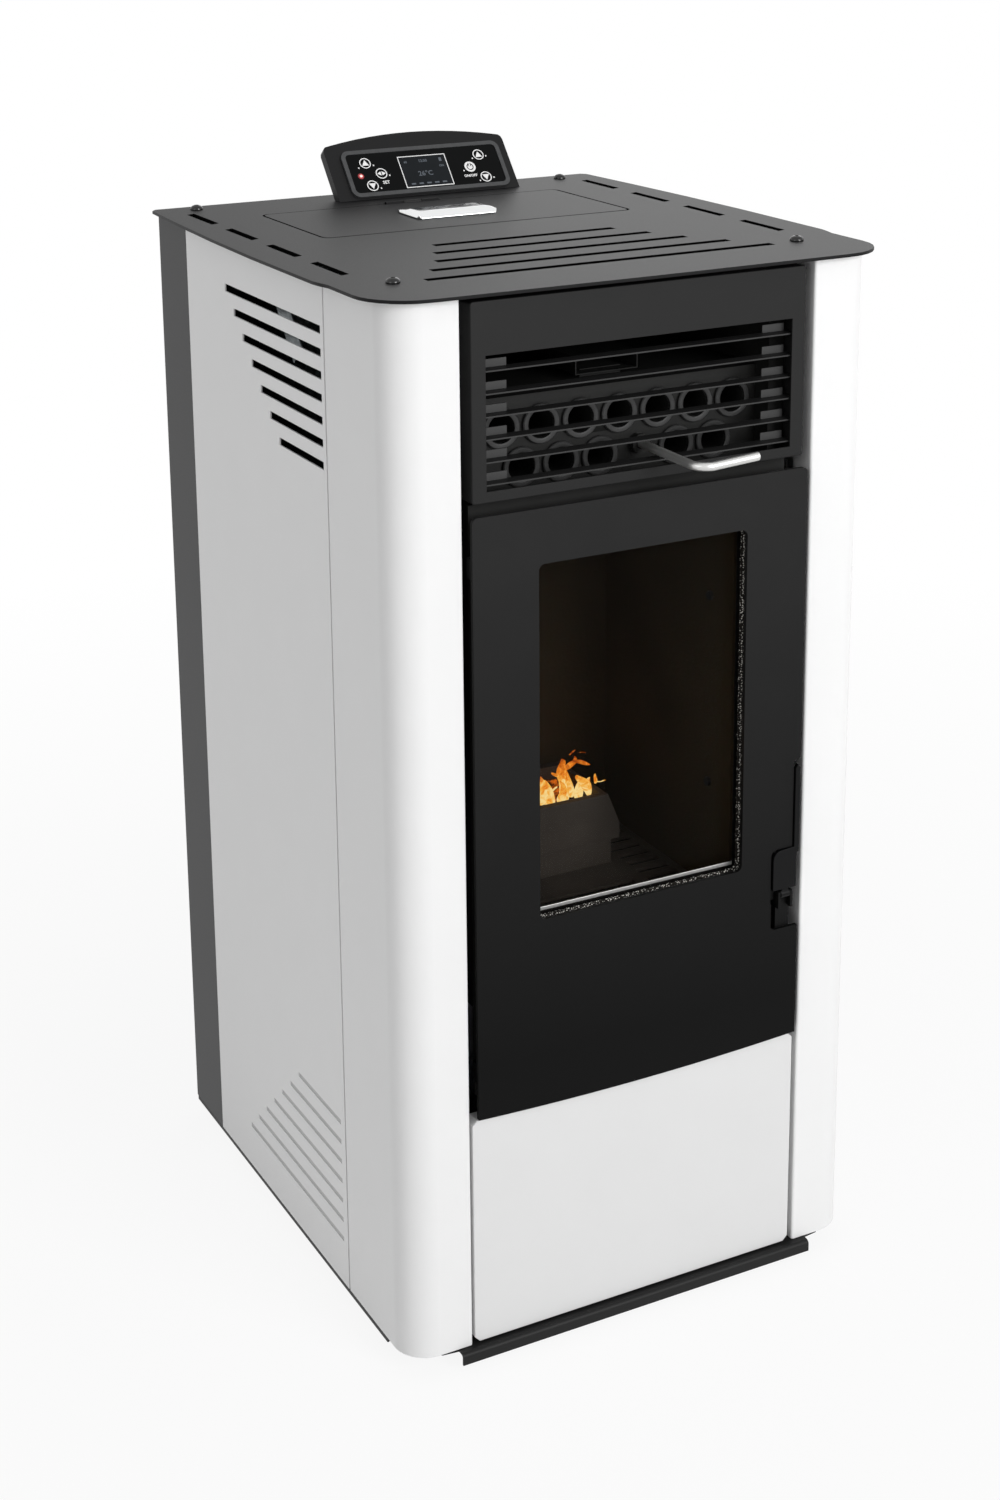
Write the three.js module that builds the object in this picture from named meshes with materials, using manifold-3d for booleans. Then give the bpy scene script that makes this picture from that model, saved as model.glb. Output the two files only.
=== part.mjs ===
// A free-standing pellet stove: a steel cabinet with two white rounded front columns, a black fire
// door with a tall window, a louvred warm-air outlet above it and a white ash drawer below it.
// Millimetres, +Z up, the front faces -Y. Inside the cabinet group, y runs back from the front
// plane of the columns, x from the stove's centre line and z up from the floor.

import * as THREE from "three";
import { ConvexGeometry } from "three/addons/geometries/ConvexGeometry.js";
import { mergeVertices } from "three/addons/utils/BufferGeometryUtils.js";
import Module from "manifold-3d";

const wasm = await Module();
wasm.setup();

// ---- Driving dimensions ----

// Cabinet
const HALF_WIDTH = 243; // outer face of the side panels
const DEPTH = 545; // front plane of the columns to the back panel
const PANEL_BOTTOM = 19;
const PANEL_TOP = 1006;
const SHEET = 1.5; // cabinet sheet steel
const SEAM = 0.5; // gap between two fixed sheets
const COLUMN_GAP = 177.5; // centre line to a column's inner edge
const COLUMN_RADIUS = 32; // rounded front corner
const COLUMN_RETURN = 28; // inner edge folded back beside the door
const COLUMN_DEPTH = 132; // where the column meets the side panel
const COLUMN_SEAM = 1.6; // the open line between the column and the side panel
const WING_FRONT = 468; // where the back panel's wings begin
const FLANGE = 14; // inward fold of a cabinet panel

// Top plate, hopper lid and control panel
const PLATE_THICK = 3;
const PLATE_BOTTOM = PANEL_TOP + SEAM;
const PLATE_TOP = PLATE_BOTTOM + PLATE_THICK;
const LID_HALF = 165;
const LID_FRONT = 303;
const LID_BACK = 460;
const LID_GAP = 1;
const LID_MARGIN = 2.2; // the wider line round the lid's front and sides
const PANEL_X = 38; // the control panel stands right of the centre line
const PANEL_Y = 493;
const PANEL_LEAN = 40; // degrees back from upright
const PANEL_HALF = 104;
const PANEL_HEIGHT = 66; // along the slope, at its ends
const PANEL_ARCH = 12; // rise of its top edge
const KEY_RADIUS = 6.5;

// Warm-air outlet and heat exchanger
const GRILLE = { half: 168, bottom: 826, top: 1001, depth: 22, wall: 2 };
const OUTLET = { half: 154, bottom: 836, top: 954 };
const LOUVRE_TOP = 945;
const LOUVRE_PITCH = 19.8;
const LOUVRES = 6;
const EXCHANGER = { half: 146, front: 44, back: 285, bottom: 822, top: 905, wall: 2, sheet: 3 };
const HOOD = { front: 24, top: 985, sheet: 1.5 }; // leads the warm air to the outlet, by a flange
const TUBE_RADIUS = 16;
const TUBE_BORE = 13.5;
const TUBE_PITCH = 39.4;
const TUBE_SIDES = 12;
const UPPER_ROW = 877.5;
const LOWER_ROW = 841;
const ROD_X = TUBE_PITCH / 2; // the scraper rod takes the place of one lower tube
const ROD_Z = 848;
const ROD_RADIUS = 4;
const REACH = 64; // how far the scraper's grip stands out in front, and the flue stub behind

// Fire door and window
const DOOR = { half: 171, top: 816, bottom: 251, sag: 4.5, front: -5, thick: 4, corner: 5 };
const WINDOW = { half: 107, bottom: 433, top: 766, corner: 6 };
const GLASS_FRONT = 13.2; // the pane is set back behind a deep rope-lined reveal
const GLASS_THICK = 4;
const HINGE_X = -163;
const HINGE_Y = 4;
const HINGE_PIN = 4;
const HINGE_HEIGHTS = { bottom: 279, top: 754 };
const FLANGE_FRONT = 20; // the firebox's front flange, which the door's rope seal meets
const LATCH = { left: 140, bottom: 364, top: 446, axisY: -5, axisZ: 400 };
const BLADE_TOP = 529;

// Firebox
const FIREBOX = { half: 146, back: 285, bottom: 330, top: 821, wall: 3 };
const FLOOR = 390;
const LINER_HALF = 112;
const LINER_BACK = 258;
const POT = { half: 63, topHalf: 50, front: 145, back: 242, foot: 418, shoulder: 434, top: 466 };

// Ash drawer
const DRAWER = { half: 173.5, bottom: 20.5, top: 248, depth: 16 };
const DRAWER_X = -1.6; // it hangs a little left of the centre line
const PAN = { half: 150, front: 16.5, back: 275, bottom: 40, top: 195 };

// Pellet feed
const HOPPER_SHEET = 1.5;
const FEED_ANGLE = THREE.MathUtils.degToRad(40);
const FEED_LENGTH = 186;
const FEED_FOOT = new THREE.Vector3(0, 452, 542);
const FEED_RADIUS = 30;
const FEED_BORE = 27;

// Fans and pipes
const FLUE = { x: 80, z: 98, radius: 40, wall: 1.5 };
const FAN_DRUM = { x0: 52.5, x1: 107.5, y: 400, z: 130, radius: 75 };
const ROOM_FAN = { x0: -160, x1: -30, y: 388, z: 108, radius: 34 };
const INTAKE = { z: 360, radius: 25, wall: 1.5 };

// ---- Materials ----

function finish(color, roughness, metalness) {
  return new THREE.MeshStandardMaterial({ color, roughness, metalness });
}

const WHITE = finish(0xe9e9e8, 0.32, 0);
const BLACK = finish(0x2b2b2b, 0.55, 0.1);
const GRAPHITE = finish(0x474747, 0.6, 0.1);
const PLATE_BLACK = finish(0x3a3a3a, 0.5, 0.15);
const CAST_IRON = finish(0x4a4844, 0.85, 0.3);
const STEEL = finish(0xb8b8b6, 0.3, 1);
const GALVANISED = finish(0x9aa0a2, 0.45, 0.9);
const CHROME = finish(0xe2e4e6, 0.08, 1);
const GLASS = finish(0x2a2018, 0.05, 0);
const ROPE = finish(0xa9a498, 0.95, 0);
const VERMICULITE = finish(0x6f6455, 0.95, 0);
const BLACK_PLASTIC = finish(0x1d1d1f, 0.4, 0);
const PANEL_GLOSS = finish(0x08080a, 0.1, 0);
const KEY_WHITE = finish(0xd8d8d8, 0.4, 0);
const RUBBER = finish(0x151515, 0.9, 0);

// ---- Solids ----

// A closed geometry as a solid that can be joined and cut.
function solid(geometry) {
  geometry.deleteAttribute("normal");
  geometry.deleteAttribute("uv");
  const merged = mergeVertices(geometry);
  return new wasm.Manifold(
    new wasm.Mesh({
      numProp: 3,
      vertProperties: merged.attributes.position.array,
      triVerts: new Uint32Array(merged.index.array),
    }),
  );
}

function join(...solids) {
  return solids.reduce((whole, next) => whole.add(next));
}

function cut(whole, ...tools) {
  return tools.reduce((rest, tool) => rest.subtract(tool), whole);
}

function box(x0, x1, y0, y1, z0, z1) {
  const geometry = new THREE.BoxGeometry(x1 - x0, y1 - y0, z1 - z0);
  geometry.translate((x0 + x1) / 2, (y0 + y1) / 2, (z0 + z1) / 2);
  return solid(geometry);
}

// A box as wide to the left of the centre line as to the right.
function centredBox(half, y0, y1, z0, z1) {
  return box(-half, half, y0, y1, z0, z1);
}

// A cylinder between two points.
function bar(from, to, radius, sides = 16) {
  const along = to.clone().sub(from);
  const geometry = new THREE.CylinderGeometry(radius, radius, along.length(), sides);
  geometry.applyQuaternion(
    new THREE.Quaternion().setFromUnitVectors(new THREE.Vector3(0, 1, 0), along.clone().normalize()),
  );
  const middle = from.clone().add(to).multiplyScalar(0.5);
  geometry.translate(middle.x, middle.y, middle.z);
  return solid(geometry);
}

function barX(x0, x1, y, z, radius, sides) {
  return bar(new THREE.Vector3(x0, y, z), new THREE.Vector3(x1, y, z), radius, sides);
}

function barY(y0, y1, x, z, radius, sides) {
  return bar(new THREE.Vector3(x, y0, z), new THREE.Vector3(x, y1, z), radius, sides);
}

function barZ(z0, z1, x, y, radius, sides) {
  return bar(new THREE.Vector3(x, y, z0), new THREE.Vector3(x, y, z1), radius, sides);
}

function extrusion(shape, depth) {
  return new THREE.ExtrudeGeometry(shape, { depth, bevelEnabled: false, curveSegments: 6 });
}

// A plan outline (x, y) raised from z0 to z1.
function raised(shape, z0, z1) {
  return solid(extrusion(shape, z1 - z0).translate(0, 0, z0));
}

// A front outline (x, z) running back from y0 to y1.
function deep(shape, y0, y1) {
  return solid(extrusion(shape, y1 - y0).rotateX(Math.PI / 2).translate(0, y1, 0));
}

// A side outline (y, z) running across from x0 to x1.
const SIDE_TO_WORLD = new THREE.Matrix4().makeBasis(
  new THREE.Vector3(0, 1, 0),
  new THREE.Vector3(0, 0, 1),
  new THREE.Vector3(1, 0, 0),
);
function across(shape, x0, x1) {
  return solid(extrusion(shape, x1 - x0).applyMatrix4(SIDE_TO_WORLD).translate(x0, 0, 0));
}

// The straight-sided solid between two level rectangles, each [x0, x1, y0, y1, z].
function funnel(lower, upper) {
  const corners = [lower, upper].flatMap(([x0, x1, y0, y1, z]) => [
    new THREE.Vector3(x0, y0, z),
    new THREE.Vector3(x1, y0, z),
    new THREE.Vector3(x1, y1, z),
    new THREE.Vector3(x0, y1, z),
  ]);
  return solid(new ConvexGeometry(corners));
}

// ---- Outlines ----

function outline(points) {
  return new THREE.Shape(points.map(([x, y]) => new THREE.Vector2(x, y)));
}

function roundedRectangle(x0, x1, y0, y1, radius) {
  const shape = new THREE.Shape();
  shape.absarc(x1 - radius, y0 + radius, radius, -Math.PI / 2, 0);
  shape.absarc(x1 - radius, y1 - radius, radius, 0, Math.PI / 2);
  shape.absarc(x0 + radius, y1 - radius, radius, Math.PI / 2, Math.PI);
  shape.absarc(x0 + radius, y0 + radius, radius, Math.PI, Math.PI * 1.5);
  return shape;
}

// Points on an arc about (cx, cy), in degrees.
function arcPoints(cx, cy, radius, from, to, steps) {
  return Array.from({ length: steps + 1 }, (_, i) => {
    const angle = THREE.MathUtils.degToRad(from + ((to - from) * i) / steps);
    return [cx + radius * Math.cos(angle), cy + radius * Math.sin(angle)];
  });
}

// The closed outline of a bent sheet. Its outer face follows the points, and its inner face lies
// one thickness to their left.
function bentSheet(points, thickness) {
  const path = points.map(([x, y]) => new THREE.Vector2(x, y));
  const leftOf = (a, b) => {
    const along = b.clone().sub(a).normalize();
    return new THREE.Vector2(-along.y, along.x);
  };
  const inner = path.map((point, i) => {
    const before = i > 0 ? leftOf(path[i - 1], point) : leftOf(point, path[1]);
    const after = i < path.length - 1 ? leftOf(point, path[i + 1]) : before;
    const sum = before.clone().add(after);
    return point.clone().add(sum.multiplyScalar(thickness / (1 + before.dot(after))));
  });
  return new THREE.Shape([...path, ...inner.reverse()]);
}

// A rectangular ring seen from the front, running back from y0 to y1. Its inner and outer edges
// lie these margins outside the window.
function windowRing(innerMargin, outerMargin, y0, y1) {
  const ringBox = (margin, from, to) =>
    centredBox(WINDOW.half + margin, from, to, WINDOW.bottom - margin, WINDOW.top + margin);
  return cut(ringBox(outerMargin, y0, y1), ringBox(innerMargin, y0 - 1, y1 + 1));
}

// ---- The scene graph ----

const stove = new THREE.Group();
const cabinet = new THREE.Group();
cabinet.position.y = -DEPTH / 2; // the scraper's grip and the flue stub reach equally far
stove.add(cabinet);

function piece(name, made, material, parent = cabinet) {
  const result = made.getMesh();
  const geometry = new THREE.BufferGeometry();
  geometry.setAttribute("position", new THREE.BufferAttribute(result.vertProperties, 3));
  geometry.setIndex(new THREE.BufferAttribute(result.triVerts, 1));
  geometry.computeVertexNormals();
  const mesh = new THREE.Mesh(geometry, material);
  mesh.name = name;
  parent.add(mesh);
  return mesh;
}

// ---- Base pan and levelling feet ----

const PAN_TOP = 18.5;
const PAN_SHEET = 2;
const PAN_EDGE = 242.5;
const LIP_HALF = 192;
const FEET = [
  ["front_left", -185, 75],
  ["front_right", 185, 75],
  ["rear_left", -185, 470],
  ["rear_right", 185, 470],
];

function basePan() {
  const plan = outline([
    [-PAN_EDGE, DEPTH - 1],
    [-PAN_EDGE, 46],
    [-208, 2],
    [-LIP_HALF, 0],
    [LIP_HALF, 0],
    [208, 2],
    [PAN_EDGE, 46],
    [PAN_EDGE, DEPTH - 1],
  ]);
  const plate = raised(plan, PAN_TOP - PAN_SHEET, PAN_TOP);
  const lipProfile = [[-9, 7], ...arcPoints(-5, PAN_TOP - 4, 4, 180, 90, 4), [1, PAN_TOP]];
  const lip = across(bentSheet(lipProfile.reverse(), PAN_SHEET), -LIP_HALF, LIP_HALF);
  const skirt = (x0, x1, y0, y1) => box(x0, x1, y0, y1, 13.5, PAN_TOP - 1);
  const sides = [-1, 1].map((side) => {
    const edges = [side * PAN_EDGE, side * (PAN_EDGE - PAN_SHEET)].sort((a, b) => a - b);
    return skirt(edges[0], edges[1], 48, DEPTH - 1);
  });
  const rear = skirt(-PAN_EDGE, PAN_EDGE, DEPTH - 3, DEPTH - 1);
  const skids = [-124, 124].map((x) => box(x - 4, x + 4, 24, 290, PAN_TOP - 1, PAN.bottom - 0.5));
  const stemHoles = FEET.map(([, x, y]) => barZ(10, 22, x, y, 5.6, 12));
  return cut(join(plate, lip, ...sides, rear, ...skids), ...stemHoles);
}
piece("base_pan", basePan(), BLACK);

for (const [place, x, y] of FEET) {
  const profile = [
    [0, 0],
    [17, 0],
    [17, 3],
    [13, 6],
    [5, 6],
    [5, 26],
    [0, 26],
  ].map(([r, z]) => new THREE.Vector2(r, z));
  const stem = solid(new THREE.LatheGeometry(profile, 16).rotateX(Math.PI / 2));
  const foot = join(stem, barZ(9.5, 16, 0, 0, 8.5, 6));
  piece(`levelling_foot_${place}`, foot, RUBBER).position.set(x, y, 0);
}

// ---- Cabinet panels ----

const VENT_SLOTS = 7;
const VENT = { top: 960, pitch: 20.4, front: 140, back: 366, backStep: 20.8, height: 7.4 };
const GROOVE = { top: 193, pitch: 20.9, front: 143, back: 245, backStep: 22.5, height: 5, depth: 0.9 };

function sidePanel(side) {
  const near = COLUMN_DEPTH + COLUMN_SEAM;
  const far = WING_FRONT - SEAM;
  const wall = HALF_WIDTH;
  const path = [
    [side * (wall - FLANGE), far],
    [side * wall, far],
    [side * wall, near],
    [side * (wall - FLANGE), near],
  ];
  const plan = bentSheet(side < 0 ? path : path.reverse(), SHEET);
  const panel = raised(plan, PANEL_BOTTOM, PANEL_TOP);
  const strip = (y0, y1, z, height, x0, x1) => {
    const [low, high] = [side * x0, side * x1].sort((a, b) => a - b);
    return box(low, high, y0, y1, z - height / 2, z + height / 2);
  };
  const vents = Array.from({ length: VENT_SLOTS }, (_, i) =>
    strip(
      VENT.front,
      VENT.back - i * VENT.backStep,
      VENT.top - i * VENT.pitch,
      VENT.height,
      wall - 4,
      wall + 4,
    ),
  );
  const grooves = Array.from({ length: VENT_SLOTS }, (_, i) =>
    strip(
      GROOVE.front,
      GROOVE.back + i * GROOVE.backStep,
      GROOVE.top - i * GROOVE.pitch,
      GROOVE.height,
      wall - GROOVE.depth,
      wall + 4,
    ),
  );
  return cut(panel, ...vents, ...grooves);
}

function column(side) {
  const cornerX = HALF_WIDTH - COLUMN_RADIUS;
  const corner = arcPoints(cornerX, COLUMN_RADIUS, COLUMN_RADIUS, 0, -90, 8);
  const path = [
    [HALF_WIDTH - FLANGE, COLUMN_DEPTH],
    [HALF_WIDTH, COLUMN_DEPTH],
    ...corner,
    ...arcPoints(COLUMN_GAP + 2, 2, 2, -90, -180, 3),
    [COLUMN_GAP, COLUMN_RETURN],
  ].map(([x, y]) => [side * x, y]);
  return raised(bentSheet(side < 0 ? path : path.reverse(), SHEET), PANEL_BOTTOM, PANEL_TOP);
}

piece("side_panel_left", sidePanel(-1), WHITE);
piece("side_panel_right", sidePanel(1), WHITE);
piece("column_left", column(-1), WHITE);
piece("column_right", column(1), WHITE);

const SOCKET = { x: -150, z: 84, halfWidth: 24, halfHeight: 14 };

function backPanel() {
  const path = [
    [HALF_WIDTH - FLANGE, WING_FRONT],
    [HALF_WIDTH, WING_FRONT],
    [HALF_WIDTH, DEPTH],
    [-HALF_WIDTH, DEPTH],
    [-HALF_WIDTH, WING_FRONT],
    [-(HALF_WIDTH - FLANGE), WING_FRONT],
  ];
  const panel = raised(bentSheet(path, SHEET), PANEL_BOTTOM, PANEL_TOP);
  const vents = Array.from({ length: 6 }, (_, i) => box(-200, -40, 530, 550, 150 + i * 16, 156 + i * 16));
  const vent = (i) => box(-80, 80, 530, 550, 900 + i * 16, 906 + i * 16);
  const upperVents = Array.from({ length: 4 }, (_, i) => vent(i));
  const socketHole = box(
    SOCKET.x - SOCKET.halfWidth - SEAM,
    SOCKET.x + SOCKET.halfWidth + SEAM,
    530,
    550,
    SOCKET.z - SOCKET.halfHeight - SEAM,
    SOCKET.z + SOCKET.halfHeight + SEAM,
  );
  return cut(
    panel,
    ...vents,
    ...upperVents,
    socketHole,
    barY(530, 550, FLUE.x, FLUE.z, FLUE.radius + 2, 32),
    barY(530, 550, 0, INTAKE.z, INTAKE.radius + 2, 24),
  );
}
piece("back_panel", backPanel(), GRAPHITE);

function mainsInlet() {
  const { x, z, halfWidth, halfHeight } = SOCKET;
  const body = box(x - halfWidth, x + halfWidth, 512, DEPTH + 1, z - halfHeight, z + halfHeight);
  const bezel = box(x - 30, x + 30, DEPTH + 0.4, DEPTH + 3.4, z - 18, z + 18);
  const recess = box(x - 12.5, x + 12.5, 530, DEPTH + 5, z - 8.5, z + 8.5);
  const blades = [-7, 0, 7].map((dx) => box(x + dx - 1, x + dx + 1, 529, 542, z - 2, z + 2));
  return join(cut(join(body, bezel), recess), ...blades);
}
piece("mains_inlet", mainsInlet(), BLACK_PLASTIC);

// ---- Top plate, its screws and the hopper lid ----

const PLATE_BACK = DEPTH + 1;
const SIDE_SLOT = { x: 225, first: 122, pitch: 103, length: 68, width: 8.5 };
const FRONT_SLOTS = [
  [95, 216],
  [112.5, 178.7],
  [129.5, 141.4],
  [152.5, 104.1],
  [176, 66.8],
]; // half length and distance from the front
const SCREWS = [
  ["front_left", -205, 70],
  ["front_right", 205, 70],
  ["rear_left", -209, 526],
  ["rear_right", 209, 526],
];
const KNUCKLE_HALF = 30; // the lid hinge's length each side of its middle
const KNUCKLE_MIDDLE = 10; // half of the fixed knuckle
const KNUCKLE_RADIUS = 2.2;
const KNUCKLE_ROOM = 3;
const LID_AXIS_Y = LID_BACK + LID_GAP / 2;

function plateOutline() {
  const shape = new THREE.Shape();
  shape.moveTo(0, -14);
  for (const side of [1, -1]) {
    const right = (x) => side * x;
    const points = [
      [right(205), -12],
      ...arcPoints(207, 38, 50, -75, 0, 6).map(([x, y]) => [right(x), y]),
      [right(257), 88],
      [right(259.5), 98],
      [right(261.5), 110],
      [right(262), 250],
      [right(260), 350],
      [right(256), 450],
      [right(251), PLATE_BACK - 6],
      [right(246), PLATE_BACK],
    ];
    for (const [x, y] of side > 0 ? points : points.reverse()) shape.lineTo(x, y);
  }
  return shape;
}

function slotAlong(y0, y1, x, width) {
  const slant = 3;
  const ends = [
    [x - width / 2, y0],
    [x + width / 2, y0 + slant],
    [x + width / 2, y1 + slant],
    [x - width / 2, y1],
  ];
  return raised(outline(ends), PLATE_BOTTOM - 2, PLATE_TOP + 2);
}

function topPlate() {
  const lidOpening = roundedRectangle(
    -LID_HALF - LID_MARGIN,
    LID_HALF + LID_MARGIN,
    LID_FRONT - LID_MARGIN,
    LID_BACK + LID_GAP,
    9,
  );
  const sideSlots = [-1, 1].flatMap((side) =>
    Array.from({ length: 4 }, (_, i) => {
      const start = SIDE_SLOT.first + i * SIDE_SLOT.pitch;
      return slotAlong(start, start + SIDE_SLOT.length, side * SIDE_SLOT.x, SIDE_SLOT.width);
    }),
  );
  const frontSlots = FRONT_SLOTS.map(([half, y]) =>
    centredBox(half, y - 5, y + 5, PLATE_BOTTOM - 2, PLATE_TOP + 2),
  );
  return cut(
    raised(plateOutline(), PLATE_BOTTOM, PLATE_TOP),
    raised(lidOpening, PLATE_BOTTOM - 2, PLATE_TOP + 2),
    ...sideSlots,
    ...frontSlots,
    ...SCREWS.map(([, x, y]) => barZ(PLATE_BOTTOM - 2, PLATE_TOP + 2, x, y, 3, 10)),
    centredBox(KNUCKLE_HALF + 1, LID_BACK, LID_AXIS_Y + KNUCKLE_ROOM, PLATE_BOTTOM - 2, PLATE_TOP + 2),
  );
}
piece("top_plate", topPlate(), PLATE_BLACK);

for (const [place, x, y] of SCREWS) {
  const profile = [
    [0, -10],
    [2.5, -10],
    [2.5, 0.3],
    [6.5, 0.3],
    [6.2, 2.2],
    [4.4, 3.9],
    [0, 4.6],
  ].map(([r, z]) => new THREE.Vector2(r, z));
  const screw = solid(new THREE.LatheGeometry(profile, 12).rotateX(Math.PI / 2));
  piece(`plate_screw_${place}`, screw, BLACK).position.set(x, y, PLATE_TOP);
}

function lidHinge() {
  const low = PLATE_BOTTOM - 1.8;
  const leaf = centredBox(KNUCKLE_HALF, LID_BACK + 1.8, LID_BACK + 16, low, PLATE_BOTTOM - 0.4);
  const halfLength = KNUCKLE_MIDDLE - 0.3;
  const web = centredBox(halfLength, LID_BACK + 1.2, LID_BACK + 2.4, low, PLATE_TOP - 0.5);
  const knuckle = barX(-halfLength, halfLength, LID_AXIS_Y, PLATE_TOP, KNUCKLE_RADIUS, 12);
  const bore = barX(-KNUCKLE_MIDDLE, KNUCKLE_MIDDLE, LID_AXIS_Y, PLATE_TOP, 1.3, 12);
  return cut(join(leaf, web, knuckle), bore);
}
piece("lid_hinge", lidHinge(), BLACK);

function hopperLid() {
  const sheet = raised(
    roundedRectangle(-LID_HALF, LID_HALF, LID_FRONT, LID_BACK, 8),
    PLATE_BOTTOM,
    PLATE_TOP,
  );
  const notch = centredBox(
    KNUCKLE_HALF + 1,
    LID_AXIS_Y - KNUCKLE_ROOM,
    LID_BACK + 1,
    PLATE_BOTTOM - 1,
    PLATE_TOP + 1,
  );
  const knuckles = [-1, 1].map((side) => {
    const ends = [side * (KNUCKLE_MIDDLE + 0.3), side * KNUCKLE_HALF].sort((a, b) => a - b);
    return join(
      barX(ends[0], ends[1], LID_AXIS_Y, PLATE_TOP, KNUCKLE_RADIUS, 12),
      box(ends[0], ends[1], LID_AXIS_Y - KNUCKLE_ROOM - 1, LID_AXIS_Y - 0.5, PLATE_TOP - 2, PLATE_TOP),
    );
  });
  const pin = barX(-KNUCKLE_HALF + 1, KNUCKLE_HALF - 1, LID_AXIS_Y, PLATE_TOP, 1, 12);
  return join(cut(sheet, notch), ...knuckles, pin);
}
piece("hopper_lid", hopperLid(), PLATE_BLACK);

// A low pull with a straight closed front. Its two feet spread backwards, and fingertips hook under
// it from behind.
const PULL = { half: 44, front: -28, foot: 28, back: -2, height: 7.3, gap: 5.2 };

function lidHandle() {
  const { half, front, foot, back, height, gap } = PULL;
  const side = [
    [half - 3, front],
    [half, front + 5],
    [half, foot - 12],
    [half - 3, foot],
    [half - 9, foot],
    [half - 12, foot - 14],
    [half - 16, back + 4],
    [half - 21, back],
  ];
  const plan = outline([...side, ...side.map(([x, y]) => [-x, y]).reverse()]);
  const slope = Array.from({ length: 9 }, (_, i) => {
    const turn = (i / 8) * (Math.PI / 2);
    return [half - 15 * (1 - Math.cos(turn)), 1 + (height - 1) * Math.sin(turn)];
  });
  const rise = [[half, 0], ...slope];
  const arch = outline([...rise, ...rise.map(([x, z]) => [-x, z]).reverse()]);
  const profile = outline([
    [front, 0],
    [front + 0.6, 1.6],
    [front + 5.5, height],
    [back, height],
    [back + 9, height - 2.4],
    [foot, 2.2],
    [foot, 0],
  ]);
  const under = outline([
    [front + 4, -1],
    [front + 8, gap],
    [foot + 1, gap],
    [foot + 1, -1],
  ]);
  const body = raised(plan, 0, height + 1)
    .intersect(deep(arch, front - 1, foot + 1))
    .intersect(across(profile, -half - 1, half + 1));
  return cut(body, across(under, -half + 19, half - 19));
}
piece("lid_handle", lidHandle(), CHROME).position.set(0, 381, PLATE_TOP + 0.3);

// ---- Warm-air outlet: frame and louvres ----

function grilleFrame() {
  const { half, bottom, top, depth, wall } = GRILLE;
  const shell = deep(roundedRectangle(-half, half, bottom, top, 3), 0, depth);
  const hollow = centredBox(half - wall, wall, depth + 1, bottom + wall, top - wall);
  const opening = centredBox(OUTLET.half, -1, wall + 1, OUTLET.bottom, OUTLET.top);
  return cut(shell, hollow, opening);
}
piece("grille_frame", grilleFrame(), BLACK);

function grilleLouvres() {
  const railHalf = OUTLET.half + 6;
  const rails = [-1, 1].map((side) => {
    const ends = [side * (OUTLET.half + 3), side * railHalf].sort((a, b) => a - b);
    return box(ends[0], ends[1], 3, 16, OUTLET.bottom - 4, OUTLET.top + 4);
  });
  const blades = Array.from({ length: LOUVRES }, (_, i) => {
    const back = LOUVRE_TOP - 4.5 - i * LOUVRE_PITCH;
    const section = bentSheet([[3, back - 1.5], [12, back]], 1.3);
    const ears = [-1, 1].map((side) => {
      const ends = [side * 129, side * 152].sort((a, b) => a - b);
      return box(ends[0], ends[1], 10.6, 12.2, back - 0.5, back + 8);
    });
    return join(across(section, -railHalf + 1, railHalf - 1), ...ears);
  });
  return join(...rails, ...blades);
}
piece("grille_louvres", grilleLouvres(), BLACK);

// ---- Heat exchanger and its scraper ----

const TUBES = [
  ...[-3, -2, -1, 0, 1, 2, 3].map((i) => [i * TUBE_PITCH, UPPER_ROW]),
  ...[-2.5, -1.5, -0.5, 1.5, 2.5].map((i) => [i * TUBE_PITCH, LOWER_ROW]),
];

function heatExchanger() {
  const { half, front, back, bottom, top, wall, sheet } = EXCHANGER;
  const shell = cut(
    centredBox(half, front, back, bottom, top),
    centredBox(half - wall, front + sheet, back - sheet, bottom - 1, top - wall),
  );
  const hood = cut(
    centredBox(half, HOOD.front, back, bottom, HOOD.top),
    centredBox(half - HOOD.sheet, HOOD.front - 1, back - HOOD.sheet, bottom - 1, HOOD.top - HOOD.sheet),
  );
  const flange = cut(
    centredBox(GRILLE.half - 3, HOOD.front - 1.6, HOOD.front + 1, 828, GRILLE.top - 3),
    centredBox(half - HOOD.sheet, HOOD.front - 3, HOOD.front + 3, 827, HOOD.top - HOOD.sheet),
  );
  const tubeBar = (x, z, y0, y1, radius) => barY(y0, y1, x, z, radius, TUBE_SIDES);
  const tubes = TUBES.map(([x, z]) => tubeBar(x, z, front - 1, back + 2, TUBE_RADIUS));
  const collars = TUBES.map(([x, z]) => tubeBar(x, z, front - 3, front + 1, TUBE_RADIUS + 1.5));
  const bores = TUBES.map(([x, z]) => tubeBar(x, z, front - 4, back + 3, TUBE_BORE));
  const guide = barY(front - 8, front + 1, ROD_X, ROD_Z, 9);
  const guideBore = barY(front - 9, front + sheet + 1, ROD_X, ROD_Z, ROD_RADIUS + 0.6);
  const probeBox = join(
    box(-20, 22, 78, 108, top - 1, top + 7),
    cut(box(-31, 33, 66, 114, top + 5, top + 21), box(-30, 32, 65, 113, top + 6, top + 20)),
  );
  const body = join(shell, hood, flange, ...tubes, ...collars, guide, probeBox);
  return cut(body, ...bores, guideBore);
}
piece("heat_exchanger", heatExchanger(), GRAPHITE);

const SCRAPER_REST = 268; // the scraper plate waits at the back of the tubes

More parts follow.
